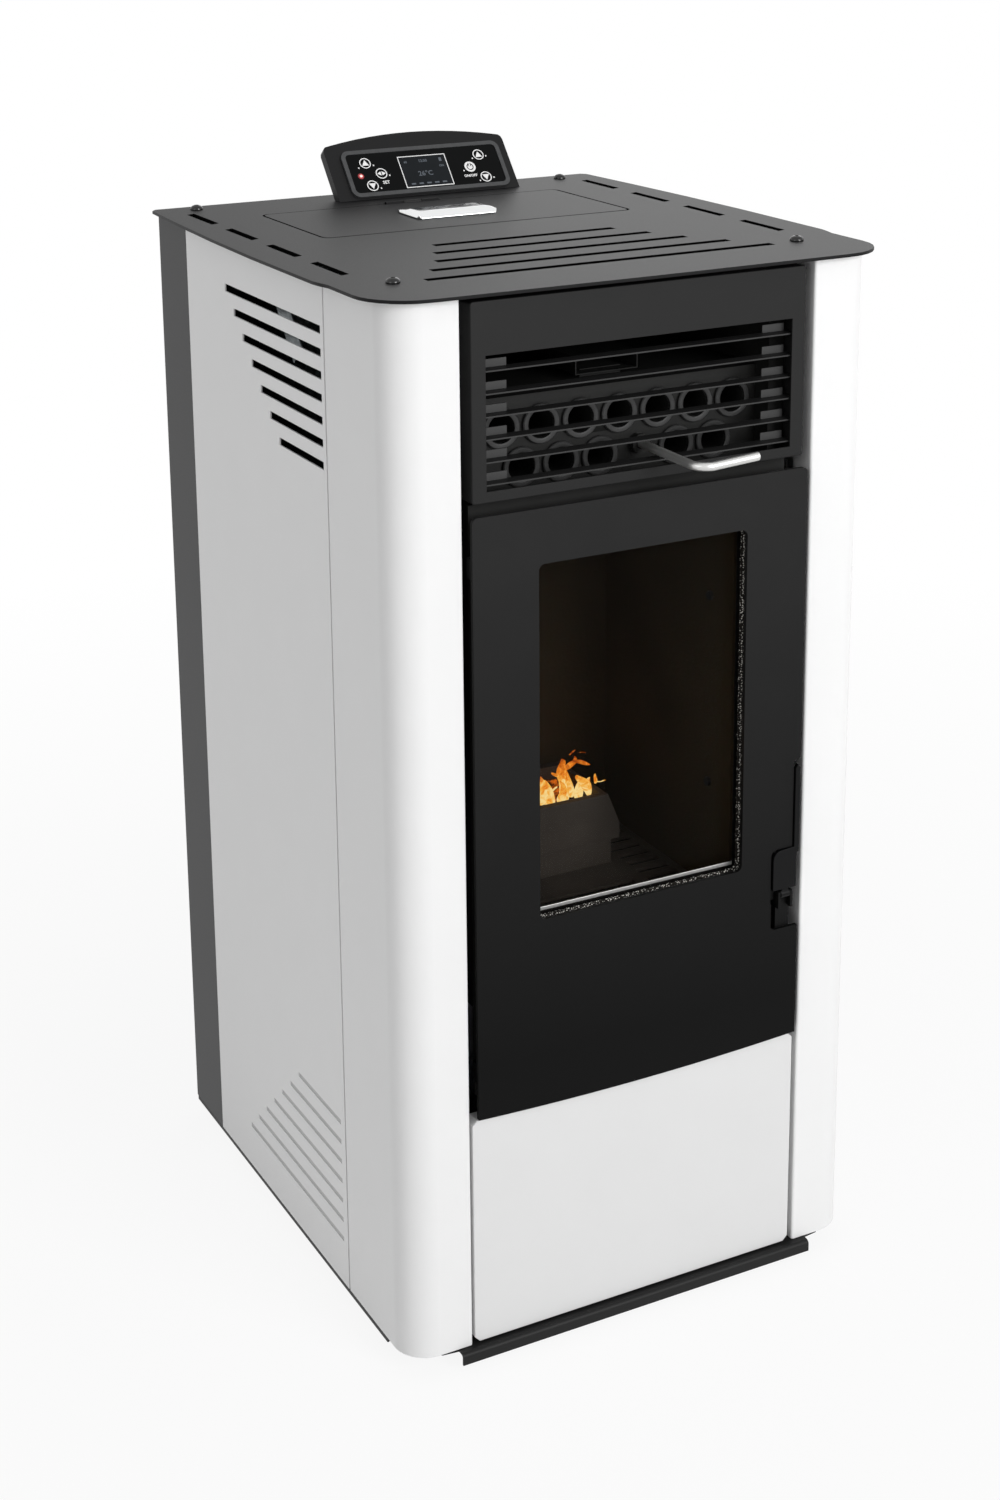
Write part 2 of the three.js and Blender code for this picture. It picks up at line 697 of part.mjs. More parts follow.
function scraperRod() {
  const gripY = -REACH + ROD_RADIUS;
  const bend = 12;
  const route = new THREE.CurvePath();
  const corner = new THREE.Vector3(ROD_X, gripY, ROD_Z);
  const bendStart = new THREE.Vector3(ROD_X, gripY + bend, ROD_Z);
  const bendEnd = new THREE.Vector3(ROD_X + bend, gripY, ROD_Z);
  const tip = new THREE.Vector3(ROD_X + 62, gripY, ROD_Z + 3);
  route.add(new THREE.QuadraticBezierCurve3(bendStart, corner, bendEnd));
  route.add(new THREE.LineCurve3(bendEnd, tip));
  const section = outline(arcPoints(0, 0, ROD_RADIUS, 0, 330, 11));
  const grip = new THREE.ExtrudeGeometry(section, { steps: 12, bevelEnabled: false, extrudePath: route });
  const farEnd = new THREE.Vector3(ROD_X, SCRAPER_REST + 5, ROD_Z);
  const nearEnd = bendStart.clone().setY(gripY + bend - 0.01);
  return join(bar(farEnd, nearEnd, ROD_RADIUS, 12), solid(grip));
}
piece("scraper_rod", scraperRod(), STEEL);

function scraperPlate() {
  const { half, bottom, top } = EXCHANGER;
  const plate = centredBox(half - 5, SCRAPER_REST, SCRAPER_REST + 2, bottom + 3, top - 5);
  const holes = TUBES.map(([x, z]) =>
    barY(SCRAPER_REST - 1, SCRAPER_REST + 3, x, z, TUBE_RADIUS + 1, TUBE_SIDES),
  );
  const rodHole = barY(SCRAPER_REST - 1, SCRAPER_REST + 3, ROD_X, ROD_Z, ROD_RADIUS + 0.4, 12);
  return cut(plate, ...holes, rodHole);
}
piece("scraper_plate", scraperPlate(), GALVANISED);

// ---- Firebox ----

const FLUE_WINDOW = { x0: 112, x1: 140, z0: 768, z1: 796 };
const IGNITER_Z = 420;
const CHUTE_TOP = new THREE.Vector3(0, 330, 640);
const CHUTE_END = new THREE.Vector3(0, 246, 560);
const CHUTE_RADIUS = 27;

function firebox() {
  const { half, back, bottom, top, wall } = FIREBOX;
  const flangeBack = FLANGE_FRONT + wall;
  const shell = cut(
    centredBox(half, FLANGE_FRONT, back, bottom, top),
    centredBox(half - wall, FLANGE_FRONT - 1, back - wall, bottom + wall, top + 1),
  );
  const flange = cut(
    centredBox(162, FLANGE_FRONT, flangeBack, 262, 820),
    centredBox(WINDOW.half + 15, FLANGE_FRONT - 1, flangeBack + 1, WINDOW.bottom - 15, WINDOW.top + 15),
  );
  const ledges = [-1, 1].map((side) => {
    const ends = [side * (half - 12), side * (half - 1)].sort((a, b) => a - b);
    return box(ends[0], ends[1], flangeBack, back - 1, 380, 386);
  });
  const keeper = [
    [147.5, 151],
    [159, 162.5],
  ].map(([x0, x1]) => box(x0, x1, 8, FLANGE_FRONT + 1, LATCH.axisZ - 15, LATCH.axisZ + 15));
  return cut(
    join(shell, flange, ...ledges, ...keeper),
    centredBox(100, 60, 250, bottom - 1, bottom + wall + 1),
    box(FLUE_WINDOW.x0, FLUE_WINDOW.x1, back - 10, back + 1, FLUE_WINDOW.z0, FLUE_WINDOW.z1),
    bar(CHUTE_TOP, CHUTE_END, CHUTE_RADIUS + 1, 20),
    barY(back - 10, back + 1, 0, IGNITER_Z, 7, 12),
    barY(back - 10, back + 1, 0, INTAKE.z, INTAKE.radius + 1, 20),
  );
}
piece("firebox", firebox(), GRAPHITE);

function fireboxLiner() {
  const outer = FIREBOX.half - FIREBOX.wall - SEAM;
  const back = FIREBOX.back - FIREBOX.wall - SEAM;
  const front = 25;
  const plan = outline([
    [-outer, front],
    [-LINER_HALF, front],
    [-LINER_HALF, LINER_BACK],
    [LINER_HALF, LINER_BACK],
    [LINER_HALF, front],
    [outer, front],
    [outer, back],
    [-outer, back],
  ]);
  return cut(
    raised(plan, FLOOR + 0.3, 800),
    box(FLUE_WINDOW.x0 - 30, FLUE_WINDOW.x1, LINER_BACK - 1, back + 1, FLUE_WINDOW.z0, FLUE_WINDOW.z1),
    bar(CHUTE_TOP, CHUTE_END, CHUTE_RADIUS + 1, 20),
    barY(LINER_BACK - 1, back + 1, 0, IGNITER_Z, 7, 12),
  );
}
piece("firebox_liner", fireboxLiner(), VERMICULITE);

function floorGrate() {
  const half = FIREBOX.half - FIREBOX.wall - SEAM;
  const plate = centredBox(half, 25, FIREBOX.back - FIREBOX.wall - SEAM, FLOOR - 3.5, FLOOR);
  const slots = [-1, 1].flatMap((side) =>
    Array.from({ length: 11 }, (_, i) => {
      const ends = [side * 70, side * 106].sort((a, b) => a - b);
      return box(ends[0], ends[1], 46 + i * 18, 54 + i * 18, FLOOR - 5, FLOOR + 1);
    }),
  );
  const frontSlots = Array.from({ length: 4 }, (_, i) =>
    centredBox(56, 46 + i * 18, 54 + i * 18, FLOOR - 5, FLOOR + 1),
  );
  return cut(plate, ...slots, ...frontSlots, centredBox(50, 155, 232, FLOOR - 5, FLOOR + 1));
}
piece("floor_grate", floorGrate(), CAST_IRON);

function burnPot() {
  const { half, topHalf, front, back, foot, shoulder, top } = POT;
  const base = FLOOR + 0.3;
  const face = outline([
    [-half, foot],
    [half, foot],
    [half, shoulder],
    [topHalf, top],
    [-topHalf, top],
    [-half, shoulder],
  ]);
  const hole = (x, y) => barZ(base - 1, base + 14, x, y, 3.5, 8);
  const holes = [-24, 0, 24].flatMap((x) => [172, 194, 216].map((y) => hole(x, y)));
  const stand = centredBox(half - 6, front + 6, back - 4, base, foot + 1);
  return cut(
    join(deep(face, front, back), stand),
    funnel([-32, 32, 163, 225, base + 12], [-44, 44, 152, 233, top + 1]),
    ...holes,
    barY(220, back + 1, 0, IGNITER_Z, 6.5, 12),
  );
}
piece("burn_pot", burnPot(), CAST_IRON);

function igniter() {
  const rod = barY(236, 330, 0, IGNITER_Z, 5, 12);
  const nut = barY(FIREBOX.back + 0.4, FIREBOX.back + 9, 0, IGNITER_Z, 10, 6);
  return join(rod, nut);
}
piece("igniter", igniter(), STEEL);

// Fresh air comes in at the back and goes to a box under the burn pot.
function airIntake() {
  const end = DEPTH + 22;
  const shell = join(
    centredBox(60, 150, 237, FIREBOX.bottom + FIREBOX.wall + 0.5, FLOOR - 4),
    barY(230, end, 0, INTAKE.z, INTAKE.radius, 20),
  );
  const inside = join(
    centredBox(60 - INTAKE.wall, 150 + INTAKE.wall, 237 - INTAKE.wall, FIREBOX.bottom + 8, FLOOR + 1),
    barY(232, end + 1, 0, INTAKE.z, INTAKE.radius - INTAKE.wall, 20),
  );
  return cut(shell, inside);
}
piece("air_intake", airIntake(), GALVANISED);

function ashChute() {
  const upper = [-104, 104, 56, 254, FIREBOX.bottom - 0.5];
  const lower = [-124, 124, 40, 262, PAN.top + 18];
  const grown = ([x0, x1, y0, y1, z], by, lift) => [x0 - by, x1 + by, y0 - by, y1 + by, z + lift];
  return cut(funnel(lower, upper), funnel(grown(lower, -1.5, -0.5), grown(upper, -1.5, 0.5)));
}
piece("ash_chute", ashChute(), GALVANISED);

// ---- Fire door ----

const HANDLE_NOTCH = 163.5;

// The bottom edge of the door, or the top edge of the drawer: an arc that sags at its middle.
function saggingEdge(half, z, sag) {
  return Array.from({ length: 13 }, (_, i) => {
    const x = -half + (2 * half * i) / 12;
    return [x, z - sag * (1 - (x / half) ** 2)];
  });
}

function doorOutline() {
  const { half, top, bottom, sag, corner } = DOOR;
  const { left, bottom: low, top: high } = LATCH;
  return outline([
    ...saggingEdge(half, bottom, sag),
    [half, low],
    ...arcPoints(left + 6, low + 6, 6, 270, 180, 3),
    ...arcPoints(left + 6, high - 6, 6, 180, 90, 3),
    [HANDLE_NOTCH, high],
    [HANDLE_NOTCH, BLADE_TOP + 2],
    [half, BLADE_TOP + 6],
    ...arcPoints(half - corner, top - corner, corner, 0, 90, 3),
    ...arcPoints(-half + corner, top - corner, corner, 90, 180, 3),
  ]);
}

function fireDoor() {
  const plateBack = DOOR.front + DOOR.thick;
  const plate = deep(doorOutline(), DOOR.front, plateBack);
  const opening = roundedRectangle(-WINDOW.half, WINDOW.half, WINDOW.bottom, WINDOW.top, WINDOW.corner);
  const frame = cut(windowRing(13, 39, plateBack - 0.5, 14), windowRing(26, 36, 8, 15));
  const lugs = Object.values(HINGE_HEIGHTS).map((z) =>
    box(HINGE_X - 6, HINGE_X + 11, plateBack - 0.5, HINGE_Y + 7, z + 5.6, z + 24),
  );
  const lugHoles = Object.values(HINGE_HEIGHTS).map((z) =>
    barZ(z, z + 30, HINGE_X, HINGE_Y, HINGE_PIN + 0.3),
  );
  const post = join(
    box(148, 163, plateBack - 0.5, 5, 352, LATCH.axisZ - 5),
    box(147, 149.5, LATCH.axisY - 3, 5, LATCH.axisZ - 14, LATCH.axisZ + 3),
    box(160.5, 163, LATCH.axisY - 3, 5, LATCH.axisZ - 14, LATCH.axisZ + 3),
    barX(148, 162, LATCH.axisY, LATCH.axisZ, 1.8, 12),
  );
  const windowed = cut(plate, deep(opening, DOOR.front - 1, plateBack + 1));
  return cut(join(windowed, frame, ...lugs, post), ...lugHoles);
}
piece("fire_door", fireDoor(), BLACK);

piece("glass_gasket", windowRing(2, 12, -0.7, GLASS_FRONT - 0.3), ROPE);
const glassPane = centredBox(
  WINDOW.half + 12,
  GLASS_FRONT,
  GLASS_FRONT + GLASS_THICK,
  WINDOW.bottom - 12,
  WINDOW.top + 12,
);
piece("door_glass", glassPane, GLASS);
const paneBack = GLASS_FRONT + GLASS_THICK + 0.3;
piece("glass_retainer", windowRing(4, 12, paneBack, paneBack + 1.5), BLACK);
piece("door_seal", windowRing(26.4, 35.6, 8.3, FLANGE_FRONT - 0.3), ROPE);

// Each hinge is an arm with an upright pin. The door lifts off both.
function doorHinge(z) {
  return join(
    box(HINGE_X, HINGE_X + 12, HINGE_Y - 3, FLANGE_FRONT - 0.3, z, z + 5),
    barZ(z, z + 5, HINGE_X, HINGE_Y, HINGE_PIN + 0.4),
    barZ(z, z + 23, HINGE_X, HINGE_Y, HINGE_PIN),
  );
}
piece("door_hinge_bottom", doorHinge(HINGE_HEIGHTS.bottom), BLACK);
piece("door_hinge_top", doorHinge(HINGE_HEIGHTS.top), BLACK);

// The door handle tips forward about a pin at its foot. A tongue behind it goes between the
// keeper's ears.
function doorHandle() {
  const { left, top, axisY, axisZ } = LATCH;
  const face = outline([
    [left + 1.5, axisZ + 5],
    [167.5, axisZ + 5],
    [167.5, top - 6],
    [170, top - 6],
    [170, BLADE_TOP - 4],
    [167, BLADE_TOP],
    [164.5, BLADE_TOP - 4],
    [164.5, top],
    ...arcPoints(left + 10.5, top - 10, 9, 90, 180, 4),
  ]);
  const barrel = barX(150, 160, axisY, axisZ, 4, 12);
  const bore = barX(149, 161, axisY, axisZ, 2.2, 12);
  const neck = box(151.5, 158.5, axisY - 2, axisY + 2, axisZ + 2, axisZ + 6);
  const tongue = box(152.5, 157.5, axisY + 2, 17, axisZ - 3, axisZ + 3);
  return cut(join(deep(face, axisY - 2, axisY + 2), neck, barrel, tongue), bore);
}
piece("door_handle", doorHandle(), BLACK);

// ---- Ash drawer ----

function drawerFace(inset) {
  const { half, bottom, top } = DRAWER;
  const chamfer = 5;
  const edge = saggingEdge(half - chamfer, top, DOOR.sag).map(([x, z]) => [
    (x * (half - chamfer - inset * 0.4)) / (half - chamfer),
    z - inset,
  ]);
  return outline([
    [half - inset, bottom + chamfer + inset * 0.4],
    [half - inset, top - chamfer - inset * 0.4],
    ...edge.reverse(),
    [-half + inset, top - chamfer - inset * 0.4],
    [-half + inset, bottom + chamfer + inset * 0.4],
    [-half + chamfer + inset * 0.4, bottom + inset],
    [half - chamfer - inset * 0.4, bottom + inset],
  ]);
}
piece(
  "ash_drawer_front",
  cut(deep(drawerFace(0), 0, DRAWER.depth), deep(drawerFace(SHEET), SHEET, DRAWER.depth + 1)),
  WHITE,
).position.x = DRAWER_X;

function ashPan() {
  const { half, front, back, bottom, top } = PAN;
  return cut(
    centredBox(half, front, back, bottom, top),
    centredBox(half - SHEET, front + SHEET, back - SHEET, bottom + SHEET, top + 1),
  );
}
piece("ash_pan", ashPan(), GALVANISED);

// ---- Pellet hopper and auger ----

const feedAxis = new THREE.Vector3(0, -Math.cos(FEED_ANGLE), Math.sin(FEED_ANGLE));
const alongFeed = (distance) => FEED_FOOT.clone().addScaledVector(feedAxis, distance);

function hopperStack(grow) {
  const wide = (z) => [-155 - grow, 155 + grow, 335 - grow, 500 + grow, z];
  const throat = (z) => [-24 - grow, 24 + grow, 392 - grow, 440 + grow, z];
  const mouth = [-155 - grow, 155 + grow, 313 - grow, 450 + grow, PANEL_TOP + 0.2 + (grow ? 0 : 1)];
  return join(
    funnel(wide(920), mouth),
    funnel(wide(760), wide(920)),
    funnel(throat(650), wide(760)),
    funnel(throat(575 - (grow ? 0 : 2)), throat(650)),
  );
}

function hopper() {
  const rim = centredBox(175, 293, 478, PANEL_TOP - 1.3, PANEL_TOP + 0.2);
  const hingeRoom = centredBox(KNUCKLE_HALF + 2, LID_BACK, 490, PANEL_TOP - 3, PANEL_TOP + 1);
  return cut(
    join(hopperStack(HOPPER_SHEET), cut(rim, hingeRoom)),
    hopperStack(0),
    bar(alongFeed(-20), alongFeed(FEED_LENGTH), FEED_RADIUS + 0.5, 20),
  );
}
piece("hopper", hopper(), GALVANISED);

function augerTube() {
  const outside = join(
    bar(alongFeed(0), alongFeed(FEED_LENGTH), FEED_RADIUS, 20),
    bar(CHUTE_TOP, CHUTE_END, CHUTE_RADIUS, 20),
  );
  const inside = join(
    bar(alongFeed(-1), alongFeed(FEED_LENGTH - 4), FEED_BORE, 20),
    bar(CHUTE_TOP, CHUTE_TOP.clone().lerp(CHUTE_END, 1.1), CHUTE_RADIUS - 2, 20),
  );
  const mouth = box(-24, 24, 392, 440, 570, 640);
  return cut(outside, inside, mouth, centredBox(60, 150, LINER_BACK + 0.5, 480, 640));
}
piece("auger_tube", augerTube(), GALVANISED);

// A shaft with one unbroken helical flight.
function augerScrew() {
  const turns = 6;
  const stepsPerTurn = 14;
  const shaftRadius = 8;
  const flightRadius = 23.5;
  const flightLength = 150;
  const flightThick = 3;
  const rings = turns * stepsPerTurn;
  const positions = [];
  for (let i = 0; i <= rings; i++) {
    const angle = (i / stepsPerTurn) * Math.PI * 2;
    const y = (i / rings) * (flightLength - flightThick);
    for (const [radius, lift] of [
      [shaftRadius - 2, 0],
      [flightRadius, 0],
      [flightRadius, flightThick],
      [shaftRadius - 2, flightThick],
    ])
      positions.push(radius * Math.cos(angle), y + lift, radius * Math.sin(angle));
  }
  const faces = [0, 2, 1, 0, 3, 2];
  for (let i = 0; i < rings; i++)
    for (let k = 0; k < 4; k++) {
      const a = i * 4 + k;
      const b = i * 4 + ((k + 1) % 4);
      faces.push(a, b, b + 4, a, b + 4, a + 4);
    }
  const last = rings * 4;
  faces.push(last, last + 1, last + 2, last, last + 2, last + 3);
  const flight = new THREE.BufferGeometry();
  flight.setAttribute("position", new THREE.Float32BufferAttribute(positions, 3));
  flight.setIndex(faces);
  flight.applyQuaternion(new THREE.Quaternion().setFromUnitVectors(new THREE.Vector3(0, 1, 0), feedAxis));
  const foot = alongFeed(10);
  flight.translate(foot.x, foot.y, foot.z);
  return join(
    solid(flight),
    bar(alongFeed(2), alongFeed(FEED_LENGTH - 8), shaftRadius, 14),
    bar(alongFeed(-14), alongFeed(4), 5, 14),
  );
}
piece("auger_screw", augerScrew(), STEEL);

function augerGearmotor() {
  const gearbox = bar(alongFeed(-30), alongFeed(-0.5), 42, 4);
  const motor = bar(alongFeed(-76), alongFeed(-28), 27, 20);
  return cut(join(gearbox, motor), bar(alongFeed(-16), alongFeed(1), 5.6, 14));
}
piece("auger_gearmotor", augerGearmotor(), BLACK);

// ---- Flue duct and exhaust fan ----

const FAN_EYE = 32;
const SUCTION = { x0: 108, x1: 146, y0: 288, y1: 322 };

function flueDuct() {
  const { x0, x1, y0, y1 } = SUCTION;
  const shell = (grow) =>
    join(
      box(x0 + grow, x1 - grow, y0 + grow, y1 - grow, 60 + grow, 800 - grow),
      box(x0 + grow, x1 - grow, y0 + grow, 462 - grow, 60 + grow, 205 - grow),
    );
  return cut(
    shell(0),
    shell(SHEET),
    box(FLUE_WINDOW.x0, FLUE_WINDOW.x1, y0 - 1, y0 + 3, FLUE_WINDOW.z0, FLUE_WINDOW.z1),
    barX(x0 - 1, x0 + 3, FAN_DRUM.y, FAN_DRUM.z, FAN_EYE),
  );
}
piece("flue_duct", flueDuct(), GALVANISED);

function exhaustFanHousing() {
  const { x0, x1, y, z, radius } = FAN_DRUM;
  const throat = (grow) =>
    box(FLUE.x - 27.5 + grow, FLUE.x + 27.5 - grow, y, 500, FLUE.z - 40 + grow, FLUE.z + 40 - grow);
  const outside = join(
    barX(x0, x1, y, z, radius, 28),
    throat(0),
    barY(496, DEPTH + REACH, FLUE.x, FLUE.z, FLUE.radius, 28),
    barX(18, x0 + 1, y, z, 32, 20),
  );
  const inside = join(
    barX(x0 + 2, x1 - 2, y, z, radius - 2, 28),
    throat(2),
    barY(498, DEPTH + REACH + 1, FLUE.x, FLUE.z, FLUE.radius - FLUE.wall, 28),
  );
  return cut(outside, inside, barX(x1 - 3, x1 + 1, y, z, FAN_EYE), barX(40, x0 + 3, y, z, 3.5, 12));
}
piece("exhaust_fan_housing", exhaustFanHousing(), GALVANISED);

function exhaustImpeller() {
  const { y, z } = FAN_DRUM;
  const blades = Array.from({ length: 10 }, (_, i) => {
    const blade = new THREE.BoxGeometry(28, 36, 2).translate(80, 41, 0);
    blade.rotateX((i / 10) * Math.PI * 2).translate(0, y, z);
    return solid(blade);
  });
  return join(barX(64, 67, y, z, 61, 24), barX(60, 74, y, z, 12, 12), barX(44, 62, y, z, 3, 12), ...blades);
}
piece("exhaust_impeller", exhaustImpeller(), STEEL);

// ---- Room fan and warm-air duct ----

const AIR_LEG = { x0: -150, x1: -42 };
const NECK = { z0: 112, z1: 156 };

function airDuct() {
  const back = 330;
  const front = 288.5;
  const { x0, x1 } = AIR_LEG;
  const legBottom = 104;
  const outside = join(
    box(x0, x1, front, back, legBottom, 830),
    centredBox(EXCHANGER.half, front, back, EXCHANGER.bottom, EXCHANGER.top),
  );
  const inside = join(
    box(x0 + SHEET, x1 - SHEET, front + SHEET, back - SHEET, legBottom + SHEET, 830),
    centredBox(
      EXCHANGER.half - SHEET,
      front - 1,
      back - SHEET,
      EXCHANGER.bottom + SHEET,
      EXCHANGER.top - SHEET,
    ),
  );
  return cut(outside, inside, box(x0 + 4, x1 - 4, back - 3, back + 1, NECK.z0, NECK.z1));
}
piece("air_duct", airDuct(), GALVANISED);

function roomFanHousing() {
  const { x0, x1, y, z } = ROOM_FAN;
  const front = 331;
  const shell = cut(
    join(box(x0, x1, front, 432, 62, 160), barX(x1 - 1, 8, y, z, 25, 20)),
    box(x0 + 2, x1 - 2, front + 2, 440, 64, 158),
  );
  return cut(
    shell,
    box(AIR_LEG.x0 + 4, AIR_LEG.x1 - 4, front - 1, front + 3, NECK.z0, NECK.z1),
    barX(x0 - 1, x0 + 3, y, z, 3.5, 12),
    barX(x1 - 3, x1 + 14, y, z, 3.5, 12),
  );
}
piece("room_fan_housing", roomFanHousing(), GALVANISED);

function roomFanRotor() {
  const { x0, x1, y, z, radius } = ROOM_FAN;
  const discs = [x0 + 6, (x0 + x1) / 2, x1 - 8].map((x) => barX(x, x + 2, y, z, radius, 20));
  const blades = Array.from({ length: 12 }, (_, i) => {
    const blade = new THREE.BoxGeometry(x1 - x0 - 12, 9, 1.5).translate((x0 + x1) / 2, radius - 6, 0);
    blade.rotateX((i / 12) * Math.PI * 2).translate(0, y, z);
    return solid(blade);
  });
  return join(...discs, ...blades, barX(x0 - 0.5, x1 + 12, y, z, 3, 12));
}
piece("room_fan_rotor", roomFanRotor(), STEEL);

// ---- Control electronics ----

function controlBox() {
  const body = raised(roundedRectangle(176, 234, 180, 330, 4), 600, 780);
  const glands = [205, 235, 265].map((y) => barZ(590, 601, 205, y, 7, 12));
  return join(body, ...glands);
}
piece("control_box", controlBox(), BLACK_PLASTIC);

// The control panel's own frame: x across, y up its slope, z out of its face.
const panel = new THREE.Group();
panel.position.set(PANEL_X, PANEL_Y, PLATE_TOP + 0.3);
panel.rotation.x = Math.PI / 2 - THREE.MathUtils.degToRad(PANEL_LEAN);
cabinet.add(panel);
panel.updateMatrix();
const intoPanel = panel.matrix.clone().invert();

const KEYS = [
  ["key_left_up", -63.5, 42.5],
  ["key_set", -49, 28.8],
  ["key_left_down", -63, 15],
  ["key_right_up", 68, 42.3],
  ["key_power", 53.7, 28.3],
  ["key_right_down", 68.3, 14.7],
];
const RIM = { x0: -88, x1: 95, y0: 2.5, y1: 58.5, width: 4.5, height: 2.5 };

function panelHousing() {
  const rise = (x) => PANEL_HEIGHT + PANEL_ARCH * (1 - (x / PANEL_HALF) ** 2);
  const inner = PANEL_HALF - 7;
  const arch = Array.from({ length: 13 }, (_, i) => {
    const x = inner - (2 * inner * i) / 12;
    return [x, rise(x)];
  });
  const shoulder = [
    [PANEL_HALF, rise(inner) - 7],
    [PANEL_HALF - 0.9, rise(inner) - 3.3],
    [PANEL_HALF - 3.2, rise(inner) - 0.9],
  ];
  const mirrored = shoulder.map(([x, y]) => [-x, y]).reverse();
  const face = outline([[-PANEL_HALF, -10], [PANEL_HALF, -10], ...shoulder, ...arch, ...mirrored]);
  const board = solid(extrusion(face, 10).translate(0, 0, -10));
  const rim = cut(
    solid(
      extrusion(roundedRectangle(RIM.x0, RIM.x1, RIM.y0, RIM.y1, 9), RIM.height + 1).translate(0, 0, -1),
    ),
    solid(
      extrusion(
        roundedRectangle(RIM.x0 + RIM.width, RIM.x1 - RIM.width, RIM.y0 + RIM.width, RIM.y1 - RIM.width, 5),
        RIM.height + 3,
      ).translate(0, 0, -0.01),
    ),
  );
  const standSide = outline([
    [501, PLATE_TOP + 0.3],
    [541, PLATE_TOP + 0.3],
    [541, 1049],
    [537, 1049],
  ]);
  const stand = solid(
    extrusion(standSide, 164)
      .applyMatrix4(SIDE_TO_WORLD)
      .translate(PANEL_X - 82, 0, 0)
      .applyMatrix4(intoPanel),
  );
  const plateRoom = solid(
    new THREE.BoxGeometry(300, 200, 60)
      .translate(PANEL_X, PANEL_Y, PLATE_TOP + 0.3 - 30)
      .applyMatrix4(intoPanel),
  );
  const wells = KEYS.map(([, x, y]) => barZ(-3.2, 4, x, y, KEY_RADIUS + 0.5));
  return cut(join(board, rim, stand), plateRoom, ...wells);
}
piece("control_panel_housing", panelHousing(), BLACK_PLASTIC, panel);

function panelOverlay() {
  const inset = RIM.width + 0.4;
  const shape = roundedRectangle(RIM.x0 + inset, RIM.x1 - inset, RIM.y0 + inset, RIM.y1 - inset, 4.6);
  const sheet = solid(extrusion(shape, 1.2).translate(0, 0, 0.3));
  return cut(sheet, ...KEYS.map(([, x, y]) => barZ(-1, 3, x, y, KEY_RADIUS + 0.4)));
}
piece("control_panel_overlay", panelOverlay(), PANEL_GLOSS, panel);

for (const [name, x, y] of KEYS) {
  piece(name, barZ(-2.4, 2.1, 0, 0, KEY_RADIUS), KEY_WHITE, panel).position.set(x, y, 0);
}

export default stove;
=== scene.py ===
"""A free-standing pellet stove: white powder-coated cabinet, black fire door and louvred outlet,
hopper lid with a chromed handle, and a control panel that leans back behind the lid."""

import math
import random

import bmesh
import bpy
from mathutils import Matrix, Vector


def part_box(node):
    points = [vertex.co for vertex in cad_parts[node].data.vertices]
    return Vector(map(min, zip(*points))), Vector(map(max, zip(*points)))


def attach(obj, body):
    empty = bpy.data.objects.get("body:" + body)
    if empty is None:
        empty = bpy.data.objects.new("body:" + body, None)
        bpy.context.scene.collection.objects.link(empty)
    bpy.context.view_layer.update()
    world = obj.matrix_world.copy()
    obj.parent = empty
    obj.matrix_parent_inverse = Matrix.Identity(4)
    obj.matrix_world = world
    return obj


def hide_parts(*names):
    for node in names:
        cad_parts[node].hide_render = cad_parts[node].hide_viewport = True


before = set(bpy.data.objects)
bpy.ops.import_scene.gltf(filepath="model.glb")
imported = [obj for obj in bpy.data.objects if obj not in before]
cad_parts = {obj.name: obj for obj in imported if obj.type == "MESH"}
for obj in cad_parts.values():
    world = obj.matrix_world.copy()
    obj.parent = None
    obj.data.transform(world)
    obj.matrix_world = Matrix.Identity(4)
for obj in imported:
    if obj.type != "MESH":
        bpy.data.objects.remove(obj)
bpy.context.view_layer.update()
scene = bpy.context.scene


# ---- Camera ----
# A long lens a little left of the stove and above it, as the photograph was taken. Its tilt and
# small shift keep the stove's uprights nearly upright and leave room for it in the other views.

PICTURE_HEIGHT = 1500  # pixels, as are the next two
FOCAL_LENGTH = 2372.5
SHIFT = -320
EYE = (-1.0356, -1.9885, 1.3839)
YAW, PITCH, ROLL = 27.534, 14.351, -0.506
yaw, pitch, roll = (math.radians(a) for a in (YAW, PITCH, ROLL))
forward = Vector((math.sin(yaw) * math.cos(pitch), math.cos(yaw) * math.cos(pitch), -math.sin(pitch)))
level_right = Vector((math.cos(yaw), -math.sin(yaw), 0))
level_up = level_right.cross(forward)
right = level_right * math.cos(roll) + level_up * math.sin(roll)
up = level_up * math.cos(roll) - level_right * math.sin(roll)

lens = bpy.data.cameras.new("camera")
lens.sensor_width = 36
lens.lens = FOCAL_LENGTH * lens.sensor_width / PICTURE_HEIGHT
lens.shift_y = SHIFT / PICTURE_HEIGHT
camera = bpy.data.objects.new("camera", lens)
axes = Matrix((right, up, -forward)).transposed()
camera.matrix_world = Matrix.Translation(EYE) @ axes.to_4x4()
scene.collection.objects.link(camera)
scene.camera = camera


# ---- Floor, sky and lamps ----
# A white floor that fades into a white background and keeps a soft shadow, with three large soft
# lamps: one in front on the right, one in front on the left and one above and behind.


def linear(code):
    """An sRGB hex colour as linear red, green, blue and alpha."""
    parts = [int(code[i : i + 2], 16) / 255 for i in (1, 3, 5)]
    return [c / 12.92 if c <= 0.04045 else ((c + 0.055) / 1.055) ** 2.4 for c in parts] + [1]


def put(tree, kind, settings):
    """Adds a node. A setting is an input, by name or number, with a value or a socket to wire to
    it, or else one of the node's own properties."""
    node = tree.nodes.new(kind)
    for name, value in settings.items():
        if isinstance(name, str) and name not in node.inputs:
            setattr(node, name, value)
        elif isinstance(value, bpy.types.NodeSocket):
            tree.links.new(value, node.inputs[name])
        else:
            node.inputs[name].default_value = value
    return node


